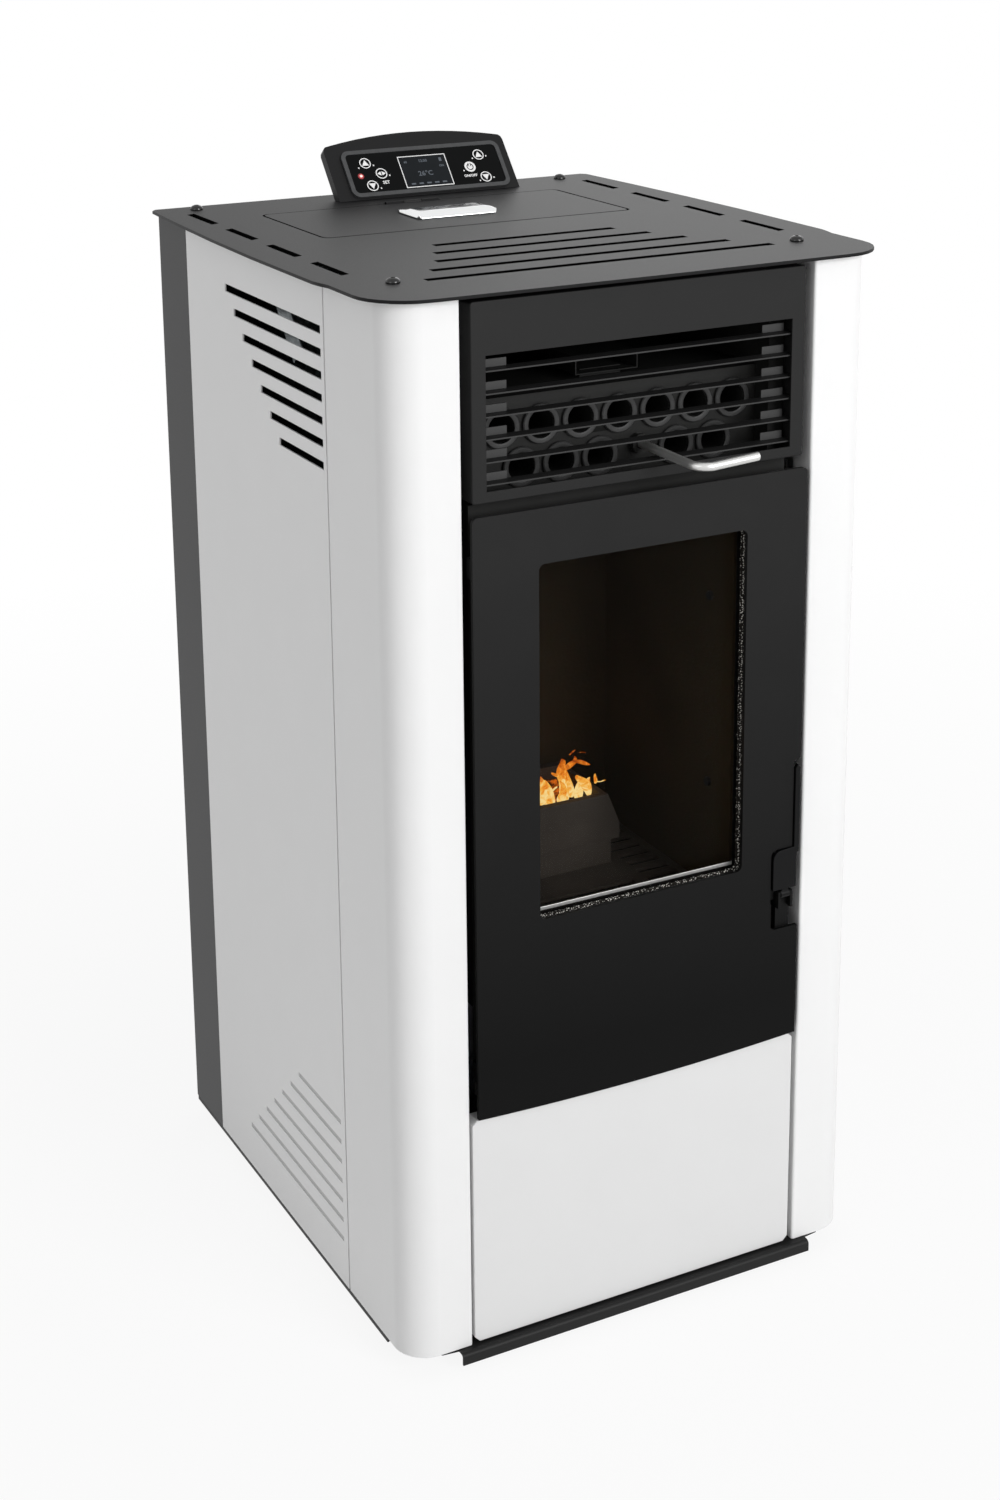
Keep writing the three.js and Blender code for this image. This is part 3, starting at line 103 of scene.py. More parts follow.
def seen_directly(tree):
    """1 where the eye, a mirror or clear glass looks at the background, and 0 for its light."""
    path = put(tree, "ShaderNodeLightPath", {})
    seen = path.outputs["Is Camera Ray"]
    for ray in ("Is Glossy Ray", "Is Transmission Ray"):
        either = {"operation": "MAXIMUM", 0: seen, 1: path.outputs[ray]}
        seen = put(tree, "ShaderNodeMath", either).outputs[0]
    return seen


world = bpy.data.worlds.new("white_studio")
world.use_nodes = True
scene.world = world
sky = world.node_tree
sky.nodes.clear()
sky_light = put(sky, "ShaderNodeBackground", {"Color": linear("#ffffff"), "Strength": 0.4})
sky_seen = put(sky, "ShaderNodeBackground", {"Color": linear("#ffffff"), "Strength": 1.0})
sky_parts = {0: seen_directly(sky), 1: sky_light.outputs[0], 2: sky_seen.outputs[0]}
sky_mix = put(sky, "ShaderNodeMixShader", sky_parts)
put(sky, "ShaderNodeOutputWorld", {"Surface": sky_mix.outputs[0]})

FLOOR_RADIUS = 40
disc = bmesh.new()
bmesh.ops.create_circle(disc, cap_ends=True, segments=64, radius=FLOOR_RADIUS)
floor_mesh = bpy.data.meshes.new("studio_floor")
disc.to_mesh(floor_mesh)
disc.free()
floor = bpy.data.objects.new("studio_floor", floor_mesh)
scene.collection.objects.link(floor)
floor_paint = bpy.data.materials.new("studio_floor_white")
floor_paint.use_nodes = True
paint = floor_paint.node_tree
paint.nodes.clear()
matt = put(paint, "ShaderNodeBsdfDiffuse", {"Color": linear("#e6e6e6")})
glow = put(paint, "ShaderNodeEmission", {"Color": linear("#ffffff"), "Strength": 1.0})
spot = put(paint, "ShaderNodeTexCoord", {}).outputs["Object"]
far = put(paint, "ShaderNodeVectorMath", {"operation": "LENGTH", 0: spot}).outputs["Value"]
fade = put(
    paint,
    "ShaderNodeMapRange",
    {"Value": far, "From Min": 0.5, "From Max": 2.2, "To Min": 0.9, "To Max": 1.0},
)
faded = {"operation": "MULTIPLY", 0: seen_directly(paint), 1: fade.outputs[0]}
fill = put(paint, "ShaderNodeMath", faded)
floor_parts = {0: fill.outputs[0], 1: matt.outputs[0], 2: glow.outputs[0]}
floor_mix = put(paint, "ShaderNodeMixShader", floor_parts)
put(paint, "ShaderNodeOutputMaterial", {"Surface": floor_mix.outputs[0]})
floor_mesh.materials.append(floor_paint)

for name, place, aim, size, watts in (
    ("lamp_front_right", (1.2, -3.9, 2.1), (0, 0, 0.55), 1.8, 112),
    ("lamp_front_left", (-3.3, -1.6, 2.0), (0, 0, 0.5), 1.8, 15),
    ("lamp_above_behind", (2.3, 2.6, 2.6), (0, 0, 0.9), 2.4, 20),
):
    lamp = bpy.data.lights.new(name, "AREA")
    lamp.shape = "SQUARE"
    lamp.size = size
    lamp.energy = watts
    holder = bpy.data.objects.new(name, lamp)
    holder.location = place
    holder.rotation_euler = (Vector(aim) - Vector(place)).to_track_quat("-Z", "Y").to_euler()
    scene.collection.objects.link(holder)

scene.view_settings.view_transform = "Standard"


# ---- White side panels ----
# Folded 1.5 mm sheet steel with a smooth white powder coat, cured to an even satin gloss. Warm
# air leaves by the seven stepped slots, and the lower seven are pressed in for looks.


def mm(x, y, z):
    """A point of the stove, in metres in the frame: x from its centre line, y back from the
    columns' front plane and z up from the floor, all in millimetres."""
    return Vector((x, y - 272.5, z)) / 1000


def new_material(name, **values):
    """A material with its shader's uniform values, and its tree, shader and object coordinates."""
    material = bpy.data.materials.new(name)
    material.use_nodes = True
    tree = material.node_tree
    tree.nodes.clear()
    settings = {key.replace("_", " ").title().replace("Ior", "IOR"): v for key, v in values.items()}
    shader = put(tree, "ShaderNodeBsdfPrincipled", settings)
    put(tree, "ShaderNodeOutputMaterial", {"Surface": shader.outputs[0]})
    place = put(tree, "ShaderNodeTexCoord", {}).outputs["Object"]
    return material, tree, shader, place


def two_shades(tree, shader, factor, dark, light):
    """Lets a pattern move the surface's colour between two shades."""
    tint = put(
        tree,
        "ShaderNodeMix",
        {"data_type": "RGBA", "Factor": factor, 6: linear(dark), 7: linear(light)},
    ).outputs[2]
    tree.links.new(tint, shader.inputs["Base Color"])
    return tint


def two_glosses(tree, shader, factor, low, high):
    """Lets a pattern move the surface's roughness between two values."""
    shine = put(tree, "ShaderNodeMapRange", {"Value": factor, "To Min": low, "To Max": high})
    tree.links.new(shine.outputs[0], shader.inputs["Roughness"])


def embossed(tree, shader, pattern, height, strength=1.0, invert=False):
    """Raises a pattern from the surface by that many millimetres."""
    settings = {"Height": pattern, "Distance": height / 1000, "Strength": strength, "invert": invert}
    relief = put(tree, "ShaderNodeBump", settings)
    tree.links.new(relief.outputs[0], shader.inputs["Normal"])


def mottled(name, dark, light, scale, detail=2.0, glows=False, **values):
    """A material that drifts between two shades, scale times in a metre, and may glow in them."""
    material, tree, shader, place = new_material(name, **values)
    patches = put(tree, "ShaderNodeTexNoise", {"Vector": place, "Scale": scale, "Detail": detail})
    tint = two_shades(tree, shader, patches.outputs[0], dark, light)
    if glows:
        tree.links.new(tint, shader.inputs["Emission Color"])
    return material


def powder_coat(name, colour, darker, roughness, level, grain, height, cloud=60, spread=0.05):
    """Baked powder paint: an even colour with a faint cloud, a roughness that varies by spread, and
    a grain from the powder's flow, given in millimetres across and high."""
    material, tree, shader, place = new_material(name, specular_ior_level=level)
    clouds = put(tree, "ShaderNodeTexNoise", {"Vector": place, "Scale": 1000 / cloud, "Detail": 2.0})
    two_shades(tree, shader, clouds.outputs[0], darker, colour)
    grains = put(tree, "ShaderNodeTexNoise", {"Vector": place, "Scale": 1000 / grain, "Detail": 3.0})
    two_glosses(tree, shader, grains.outputs[0], roughness - spread, roughness + spread)
    embossed(tree, shader, grains.outputs[0], height)
    return material


def copied(node):
    """A CAD node's shape, merged and with its flat faces whole, to give it finer edges."""
    bm = bmesh.new()
    bm.from_mesh(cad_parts[node].data)
    bmesh.ops.remove_doubles(bm, verts=bm.verts, dist=2e-5)
    bmesh.ops.dissolve_limit(bm, angle_limit=math.radians(0.5), verts=bm.verts, edges=bm.edges)
    return bm


def stand(name, bm, materials, body, replaced=(), crease=None):
    """Makes the finished mesh an object that rides on its body and takes the CAD nodes' place.
    Edges sharper than crease, in degrees, stay sharp."""
    mesh = bpy.data.meshes.new(name)
    bm.to_mesh(mesh)
    bm.free()
    for material in materials if isinstance(materials, (list, tuple)) else [materials]:
        mesh.materials.append(material)
    mesh.shade_smooth()
    if crease:
        mesh.set_sharp_from_angle(angle=math.radians(crease))
    piece = bpy.data.objects.new(name, mesh)
    scene.collection.objects.link(piece)
    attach(piece, body)
    if replaced:
        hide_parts(*replaced)
    if crease:
        piece.modifiers.new("flat_faces_stay_flat", "WEIGHTED_NORMAL").keep_sharp = True
    return piece


def ease(piece, width, segments=2, angle=38, weighted=False):
    """Rounds a piece's edges by that many millimetres, or by the share that their weights give."""
    rounding = piece.modifiers.new("eased_edges", "BEVEL")
    rounding.width = width / 1000
    rounding.segments = segments
    rounding.limit_method = "WEIGHT" if weighted else "ANGLE"
    rounding.angle_limit = math.radians(angle)
    piece.modifiers.new("flat_faces_stay_flat", "WEIGHTED_NORMAL").keep_sharp = True
    return piece


def refined(name, node, finish, body, slot, width, **rounding):
    """A CAD node's own shape with eased edges and its real finish, in the node's place."""
    return ease(stand(name, copied(node), finish, body, [node]), width, **rounding)


def weigh_edges(bm, wide, narrow):
    """Gives sharp edges a rounding weight: 1 where wide(middle, along) holds, else narrow."""
    weights = bm.edges.layers.float.new("bevel_weight_edge")
    for edge in bm.edges:
        if len(edge.link_faces) == 2 and edge.calc_face_angle(0) > math.radians(38):
            middle = (edge.verts[0].co + edge.verts[1].co) / 2
            along = (edge.verts[0].co - edge.verts[1].co).normalized()
            edge[weights] = 1 if wide(middle, along) else narrow


# Smooth powder coat: a clean neutral white with a soft, even gloss and almost no grain. The groove
# floors get a greyer, duller copy of it: painted shade that draws them as faint grey lines.
white_coat = powder_coat("white_powder_coat", "#eeeeee", "#ebebeb", 0.3, 0.5, 3.0, 0.0015, spread=0.01)
groove_painted_shade = powder_coat(
    "white_coat_painted_groove_shade", "#c9c9c9", "#c2c2c2", 0.45, 0.3, 3.0, 0.0015, spread=0.01
)
GROOVE_TOP = 0.21
GROOVE_FLOOR = (0.2418, 0.2425)  # its distance from the centre line
GROOVE_AREA = 3e-4
for side in ("left", "right"):
    sheet = copied(f"side_panel_{side}")
    for face in sheet.faces:
        middle = face.calc_center_median()
        at_floor = GROOVE_FLOOR[0] < abs(middle.x) < GROOVE_FLOOR[1]
        # Faces on the groove floors take the painted shade.
        if middle.z < GROOVE_TOP and at_floor and face.calc_area() > GROOVE_AREA:
            face.material_index = 1
    finishes = [white_coat, groove_painted_shade]
    node = f"side_panel_{side}"
    ease(stand(f"side_sheet_{side}", sheet, finishes, "cabinet", [node]), 0.35)


# ---- White front columns ----
# Each is one sheet folded round a full-height corner of 32 mm radius. The corner is rolled, so
# it is smooth, and its inner edge is turned back beside the door.

SHEET = 1.5
INNER_EDGE, OUTER_FACE, REAR_EDGE = 177.5, 243, 132
COLUMN_RADIUS = 32
INNER_RADIUS = 2.5
COLUMN_FOOT, COLUMN_HEIGHT = 19, 987


def drawn_line(bm, start, moves, axis=(0, 0, 1), steps=14):
    """Draws a line of edges from start. A move is a point to go to, or (centre, degrees) to swing
    about it."""
    vert = bm.verts.new(start)
    for move in moves:
        if len(move) == 2:
            swung = bmesh.ops.spin(
                bm,
                geom=[vert],
                cent=move[0],
                axis=axis,
                angle=math.radians(move[1]),
                steps=steps,
                use_duplicate=False,
            )
            vert = [g for g in swung["geom_last"] if isinstance(g, bmesh.types.BMVert)][0]
        else:
            drawn = bmesh.ops.extrude_vert_indiv(bm, verts=[vert])
            vert = drawn["verts"][0]
            vert.co = Vector(move)
    return vert


def turned(bm, centre, profile, axis, steps):
    """Spins a profile round an axis. It is given as moves from the centre, in millimetres."""
    points = [centre + Vector(move) / 1000 for move in profile]
    drawn_line(bm, points[0], points[1:])
    bmesh.ops.spin(
        bm,
        geom=bm.verts[:] + bm.edges[:],
        cent=centre,
        axis=axis,
        angle=math.tau,
        steps=steps,
        use_merge=True,
        use_duplicate=False,
    )


def pulled(bm, along):
    """Pulls every edge of a line into a sheet."""
    sheet = bmesh.ops.extrude_edge_only(bm, edges=bm.edges[:])
    moved = [g for g in sheet["geom"] if isinstance(g, bmesh.types.BMVert)]
    bmesh.ops.translate(bm, verts=moved, vec=along)


for side, name in ((-1, "left"), (1, "right")):
    bm = bmesh.new()
    drawn_line(
        bm,
        mm(INNER_EDGE, 28, COLUMN_FOOT),
        [
            mm(INNER_EDGE, INNER_RADIUS, COLUMN_FOOT),
            (mm(INNER_EDGE + INNER_RADIUS, INNER_RADIUS, COLUMN_FOOT), 90),
            mm(OUTER_FACE - COLUMN_RADIUS, 0, COLUMN_FOOT),
            (mm(OUTER_FACE - COLUMN_RADIUS, COLUMN_RADIUS, COLUMN_FOOT), 90),
            mm(OUTER_FACE, REAR_EDGE - 1, COLUMN_FOOT),
            mm(OUTER_FACE - 1, REAR_EDGE, COLUMN_FOOT),
            mm(OUTER_FACE - 14, REAR_EDGE, COLUMN_FOOT),
        ],
    )
    pulled(bm, (0, 0, COLUMN_HEIGHT / 1000))
    if side < 0:
        bmesh.ops.scale(bm, vec=(-1, 1, 1), verts=bm.verts)
    bmesh.ops.recalc_face_normals(bm, faces=bm.faces)
    in_front = mm(side * 195, 0, 500)
    front_face = min(bm.faces, key=lambda f: (f.calc_center_median() - in_front).length)
    if front_face.normal.y > 0:
        bmesh.ops.reverse_faces(bm, faces=bm.faces)
    node = f"column_{name}"
    column = stand(f"column_sheet_{name}", bm, white_coat, "cabinet", [node])
    wall = column.modifiers.new("sheet_thickness", "SOLIDIFY")
    wall.thickness = SHEET / 1000
    wall.offset = -1
    wall.use_even_offset = True
    ease(column, 0.35, angle=50)


# ---- Dark back panel and base ----
# The rear is one U-shaped sheet in a dark grey coat, and its wings show at the back of each side.
# The base pan is black, and its front lip is folded down under the drawer.

# Fine-grained powder coat: a flat dark grey that keeps a little light at grazing angles.
graphite_coat = powder_coat("graphite_powder_coat", "#2f2f30", "#2b2b2c", 0.5, 0.3, 1.6, 0.02)
# Sprayed heat paint: a deep, slightly uneven black with a low sheen.
black_coat = powder_coat("black_heat_paint", "#191919", "#141414", 0.5, 0.2, 1.2, 0.05)
refined("back_sheet", "back_panel", graphite_coat, "cabinet", "graphite_paint", 0.35)
refined("base_tray", "base_pan", black_coat, "cabinet", "black_paint", 0.4)

BACK_FACE = 545
HEAD_RADIUS, HEAD_FLATNESS = 0.0042, 0.62
panel_screws = bmesh.new()
for x in (-222, 222):
    for z in (60, 300, 540, 780, 965):
        turn = Matrix.Translation(mm(x, BACK_FACE, z)) @ Matrix.Rotation(math.radians(-90), 4, "X")
        head = bmesh.ops.create_uvsphere(panel_screws, u_segments=16, v_segments=8, radius=HEAD_RADIUS)
        bmesh.ops.scale(panel_screws, vec=(1, 1, HEAD_FLATNESS), verts=head["verts"])
        bmesh.ops.transform(panel_screws, matrix=turn, verts=head["verts"])
stand("back_screws", panel_screws, black_coat, "cabinet")

# Moulded rubber: dull near-black with a fine speckle of dust.
rubber = mottled("moulded_rubber", "#0f0f0f", "#1c1c1c", 700, roughness=0.8, specular_ior_level=0.3)
CORNERS = ("front_left", "front_right", "rear_left", "rear_right")
for corner in CORNERS:
    refined(f"foot_{corner}", f"levelling_foot_{corner}", rubber, "cabinet", "rubber", 0.5)


# ---- Top plate, its screws and the hopper lid ----
# A 3 mm steel plate with bowed sides, in a finely textured black coat. Button screws hold it to
# the columns. The lid lies flush in it and is hinged along its rear edge.

# Textured powder coat: grains about a millimetre wide break up the light into a soft dark grey.
plate_coat = powder_coat("textured_black_coat", "#101011", "#0d0d0e", 0.48, 0.14, 1.1, 0.035)
# Painted shade: a near-black for the walls of slots and gaps, so that they read as dark lines.
slot_painted_shade = mottled(
    "slot_and_gap_painted_shade", "#020202", "#060606", 400, roughness=0.9, specular_ior_level=0.02
)
plate_finishes = [plate_coat, slot_painted_shade]
LID_TOP = 1.0096
cover = copied("top_plate")
for face in cover.faces:
    middle = face.calc_center_median()
    inside_rim = abs(middle.x) < 0.235 and -0.24 < middle.y < 0.25
    # Walls of the plate's slots take the painted shade.
    if abs(face.normal.z) < 0.3 and inside_rim:
        face.material_index = 1
ease(stand("cover_plate", cover, plate_finishes, "cabinet", ["top_plate"]), 0.35)
lid_sheet = copied("hopper_lid")
for face in lid_sheet.faces:
    # The lid's edges take it too, which draws the gap round the lid.
    if abs(face.normal.z) < 0.3 and face.calc_center_median().z < LID_TOP:
        face.material_index = 1
ease(stand("hopper_cover", lid_sheet, plate_finishes, "lid", ["hopper_lid"]), 0.35)

# Blackened steel: black all over, with one small sharp highlight on each domed head.
satin_black = mottled(
    "blackened_steel", "#020202", "#050505", 260,
    detail=3.0, roughness=0.2, metallic=0.0, specular_ior_level=0.5,
)
# Half a button screw, from its socket over its dome to its shank: millimetres out and up.
BUTTON_PROFILE = (
    (2.1, 1.8),
    (2.1, 4.2),
    (2.7, 4.2),
    (4.5, 3.5),
    (5.9, 2.2),
    (6.4, 0.9),
    (6.4, 0),
    (2.4, 0),
    (2.4, -9),
)
for corner in CORNERS:
    low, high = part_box(f"plate_screw_{corner}")
    middle = (low + high) / 2
    seat = Vector((middle.x, middle.y, high.z - 0.0043))
    bm = bmesh.new()
    turned(bm, seat, [(out, 0, rise) for out, rise in BUTTON_PROFILE], (0, 0, 1), 24)
    bmesh.ops.holes_fill(bm, edges=bm.edges, sides=24)
    bmesh.ops.recalc_face_normals(bm, faces=bm.faces)
    stand(
        f"button_screw_{corner}",
        bm,
        satin_black,
        "cabinet",
        [f"plate_screw_{corner}"],
        crease=40,
    )


# ---- Chromed lid handle ----
# A low pull cast in zinc and bright chrome plated. It rises from two spread feet, and its front
# is closed, so that fingers go under it from behind.

# Bright chrome: it mirrors the white room, and wiping leaves it a little streaked.
chrome, tree, shader, place = new_material("bright_chrome_plate", metallic=1.0)
shader.inputs["Base Color"].default_value = linear("#eceded")
wiping = put(tree, "ShaderNodeTexNoise", {"Vector": place, "Scale": 90.0, "Detail": 4.0})
two_glosses(tree, shader, wiping.outputs[0], 0.1, 0.2)
refined("lid_pull", "lid_handle", chrome, "lid", "chrome", 0.8, segments=3, angle=28)


# ---- Warm-air outlet ----
# A folded sheet frame in black heat paint round six tilted louvres, with small tabs at their
# ends. Behind it is the heat exchanger with its tube ends, which are flared with thick collars.

folded = copied("grille_frame")


def on_outer_fold(middle, along):
    """Whether an edge lies on the frame's outer fold, which is rounder than its cut edges."""
    around_louvres = abs(middle.x) <= 0.16 and 0.832 < middle.z < 0.96
    return middle.y < -0.272 and not around_louvres


weigh_edges(folded, on_outer_fold, 0.22)
outlet_frame = stand("outlet_frame", folded, black_coat, "cabinet", ["grille_frame"])
ease(outlet_frame, 2.4, segments=4, weighted=True)

# Painted highlight: the same paint in grey on the tabs and the louvres' front edges, where they
# catch the light.
edge_painted_highlight = powder_coat("black_paint_painted_highlight", "#2f2f2f", "#222222", 0.42, 0.45, 0.9, 0.02, cloud=12)
louvres = copied("grille_louvres")
for face in louvres.faces:
    middle = face.calc_center_median() * 1000
    middle.y += 272.5
    tab = 128.8 < abs(middle.x) < 152.2 and 10.4 < middle.y < 12.4 and face.calc_area() < 3e-4
    # Tabs and front edges take the painted highlight.
    if tab or (face.normal.y < -0.6 and middle.y < 3.3 and abs(middle.x) < 150):
        face.material_index = 1
finishes = [black_coat, edge_painted_highlight]
ease(stand("louvres", louvres, finishes, "cabinet", ["grille_louvres"]), 0.35)

# Plain steel scorched by use: a matt, cloudy dark grey.
iron_grey = powder_coat("scorched_steel", "#1f1f1e", "#151514", 0.6, 0.25, 3.0, 0.05, cloud=25)
TUBE_PITCH = 39.4
tube_places = [(i * TUBE_PITCH, 877.5) for i in (-3, -2, -1, 0, 1, 2, 3)]
tube_places += [(i * TUBE_PITCH, 841) for i in (-2.5, -1.5, -0.5, 1.5, 2.5)]
for node in ("heat_exchanger", "firebox"):
    shell = copied(node)
    for face in shell.faces:
        middle = face.calc_center_median()
        # On the exchanger, the hood over the tubes and the sides near the front take the near-black
        # painted shade, so the inside stays dark behind the louvres and the slots.
        in_hood = middle.z > 0.93 or (abs(middle.x) > 0.14 and middle.y < -0.2)
        face.material_index = 1 if node == "heat_exchanger" and in_hood else 0
    stand(f"{node}_body", shell, [iron_grey, slot_painted_shade], "cabinet", [node], crease=35)
# A collar's section, from its bore over its rim to its outside: millimetres out and back.
COLLAR_PROFILE = ((13.1, 5), (13.1, 0.6), (14.1, 0), (17.2, 0), (18.1, 0.8), (18.1, 5))
collars = bmesh.new()
for x, z in tube_places:
    ring = bmesh.new()
    centre = mm(x, 40.4, z)
    turned(ring, centre, [(out, inward, 0) for out, inward in COLLAR_PROFILE], (0, 1, 0), 32)
    bmesh.ops.recalc_face_normals(ring, faces=ring.faces)
    outer_face = max(ring.faces, key=lambda f: (f.calc_center_median() - centre).length)
    if outer_face.normal.dot(outer_face.calc_center_median() - centre) < 0:
        bmesh.ops.reverse_faces(ring, faces=ring.faces)
    made = bpy.data.meshes.new("ring")
    ring.to_mesh(made)
    ring.free()
    collars.from_mesh(made)
    bpy.data.meshes.remove(made)
# Painted highlight: the collars are a lighter grey than the plate behind, which stands in for the
# light on their rims. The grey drifts at random to nearly black.
collar_painted_highlight = powder_coat("collar_grey_painted_highlight", "#333333", "#1f1f1f", 0.45, 0.4, 1.2, 0.03, cloud=15)
stand("tube_collars", collars, collar_painted_highlight, "cabinet", crease=35)


# ---- Scraper rod ----
# An 8 mm plain drawn steel rod. It pushes the scraper plate along the tubes and comes out between
# two louvres, where its end is bent to the right as a grip.

# Drawn steel: pale grey with fine marks along its length, which stretch its highlights.
steel, tree, shader, place = new_material("drawn_steel", metallic=0.85)
draw_marks = put(tree, "ShaderNodeMapping", {"Vector": place, "Scale": (900.0, 12.0, 900.0)})
marks = put(tree, "ShaderNodeTexNoise", {"Vector": draw_marks.outputs[0], "Scale": 1.0, "Detail": 2.0})
two_shades(tree, shader, marks.outputs[0], "#c2c2c0", "#dededc")
two_glosses(tree, shader, marks.outputs[0], 0.3, 0.44)

ROD_X, ROD_Z, ROD_END = 19.7, 848, 273
ROD_RADIUS = 0.004
GRIP_Y, BEND, GRIP = -60, 14, (0.046, 0, 0.003)
rod = bmesh.new()
section = bmesh.ops.create_circle(rod, cap_ends=True, segments=24, radius=ROD_RADIUS)
bmesh.ops.transform(
    rod,
    matrix=Matrix.Translation(mm(ROD_X, ROD_END, ROD_Z)) @ Matrix.Rotation(math.radians(90), 4, "X"),
    verts=section["verts"],
)
tip_face = rod.faces[:]


def onward(geom, bm, along):
    """Extrudes the last section along."""
    more = bmesh.ops.extrude_face_region(bm, geom=geom)["geom"]
    bmesh.ops.translate(bm, verts=[g for g in more if isinstance(g, bmesh.types.BMVert)], vec=along)
    bmesh.ops.delete(bm, geom=geom, context="FACES_ONLY")
    return [g for g in more if isinstance(g, bmesh.types.BMFace)]


bmesh.ops.duplicate(rod, geom=tip_face)  # the far end's own face
tip_face = onward(tip_face, rod, mm(0, GRIP_Y + BEND, 0) - mm(0, ROD_END, 0))
bent = bmesh.ops.spin(
    rod,
    geom=tip_face,
    cent=mm(ROD_X + BEND, GRIP_Y + BEND, ROD_Z),
    axis=(0, 0, 1),
    angle=math.radians(90),
    steps=14,
    use_duplicate=False,
)
tip_face = [g for g in bent["geom_last"] if isinstance(g, bmesh.types.BMFace)]
tip_face = onward(tip_face, rod, Vector(GRIP))
bmesh.ops.remove_doubles(rod, verts=rod.verts, dist=1e-6)
bmesh.ops.recalc_face_normals(rod, faces=rod.faces)
ease(stand("scraper_bar", rod, steel, "scraper", ["scraper_rod"]), 0.7, angle=60)


# ---- Fire door ----
# A 4 mm steel plate in black heat paint, with its corners rounded and a tall window. Its lower
# edge sags to match the drawer. The handle beside it is bent from 4 mm plate.


def painted_shade_downward(material, low, high, share):
    """Painted shade: darkens a paint from high down to low."""
    tree = material.node_tree
    shader = next(n for n in tree.nodes if n.type == "BSDF_PRINCIPLED")
    tint = shader.inputs["Base Color"].links[0].from_socket
    place = next(n for n in tree.nodes if n.type == "TEX_COORD").outputs["Object"]
    rise = put(tree, "ShaderNodeSeparateXYZ", {0: place})
    range_values = {"From Min": low / 1000, "From Max": high / 1000, "To Min": share, "To Max": 1.0}
    level = put(tree, "ShaderNodeMapRange", {"Value": rise.outputs["Z"], **range_values})
    dark = put(
        tree,
        "ShaderNodeMix",
        {"data_type": "RGBA", "Factor": level.outputs[0], 6: linear("#000000"), 7: tint},
    )
    tree.links.new(dark.outputs[2], shader.inputs["Base Color"])
    return material


# Heat paint on the door: a flat charcoal, with painted shade that darkens it towards the foot.
door_black_painted_shade = powder_coat("door_heat_paint_painted_shade", "#242424", "#1f1f1f", 0.5, 0.1, 1.2, 0.04)
painted_shade_downward(door_black_painted_shade, 300, 780, 0.0)
refined("door_plate", "fire_door", door_black_painted_shade, "door", "black_paint", 0.6)
# The handle's paint is blacker and a little glossier than the door's.
handle_black = powder_coat("handle_black_paint", "#0a0a0b", "#070708", 0.35, 0.12, 1.0, 0.02)
refined("door_lever", "door_handle", handle_black, "latch", "black_paint", 0.5)
refined("pane_clip_frame", "glass_retainer", black_coat, "door", "black_paint", 0.3, segments=1)
for place_name in ("bottom", "top"):
    stand(
        f"hinge_arm_{place_name}",
        copied(f"door_hinge_{place_name}"),
        black_coat,
        "cabinet",
        [f"door_hinge_{place_name}"],
        crease=35,
    )


# ---- Door glass ----
# A 4 mm pane of ceramic glass, faintly brown, with a polished face that mirrors the room a
# little. It is set behind a deep reveal.

# Ceramic glass: clear, with a faint brown cast that dims the firebox behind it.
pane_glass = mottled(
    "ceramic_glass", "#060403", "#0d0a06", 9, roughness=0.03, alpha=0.2, specular_ior_level=0.07
)
refined("window_pane", "door_glass", pane_glass, "door", "glass", 0.5)

# A pale metal strip along the pane's foot: a painted highlight, one thin bright line that stands
# for the light on the pane's polished edge.
pane_painted_highlight = mottled(
    "painted_highlight_edge_strip", "#e4e4e2", "#fbfbfa", 150, detail=3.0, roughness=0.42, metallic=1.0
)
STRIP_SIZE = (0.214, 0.0009, 0.0034)
strip = bmesh.new()
bmesh.ops.create_cube(strip, size=1)
bmesh.ops.scale(strip, vec=STRIP_SIZE, verts=strip.verts)
bmesh.ops.translate(strip, vec=mm(0, 12.2, 434.8), verts=strip.verts)
ease(stand("pane_edge_painted_highlight", strip, pane_painted_highlight, "door"), 0.25)


# ---- Rope seals ----
# Knitted glass-fibre rope, dark with pale stitches. Two turns of it line the reveal in front of the
# glass, and a thicker one sits in the channel behind the door.

def ramp_between(tree, factor, low, dark, high, light, stops=()):
    """A colour ramp from dark at low to light at high, with any stops between."""
    node = put(tree, "ShaderNodeValToRGB", {"Fac": factor})
    ramp = node.color_ramp
    ends = ((low, dark), (high, light))
    for element, (position, code) in zip(ramp.elements, ends):
        element.position = position
        element.color = linear(code)
    for position, code in stops:
        ramp.elements.new(position).color = linear(code)
    return node.outputs[0]


# Knitted glass fibre: pale stitches 1.9 mm apart that stand out of dark gaps, without any gloss.
STITCH = 1.9
rope_fibre, tree, shader, place = new_material(
    "glass_fibre_rope", roughness=0.95, specular_ior_level=0.15
)
stitches = put(
    tree, "ShaderNodeTexVoronoi", {"Vector": place, "Scale": 1000 / STITCH, "Randomness": 0.6}
)
stitch_tint = ramp_between(tree, stitches.outputs["Distance"], 0.2, "#fbf8f0", 0.36, "#1d1b18")
tree.links.new(stitch_tint, shader.inputs["Base Color"])
embossed(tree, shader, stitches.outputs["Distance"], 0.8, 0.8, invert=True)


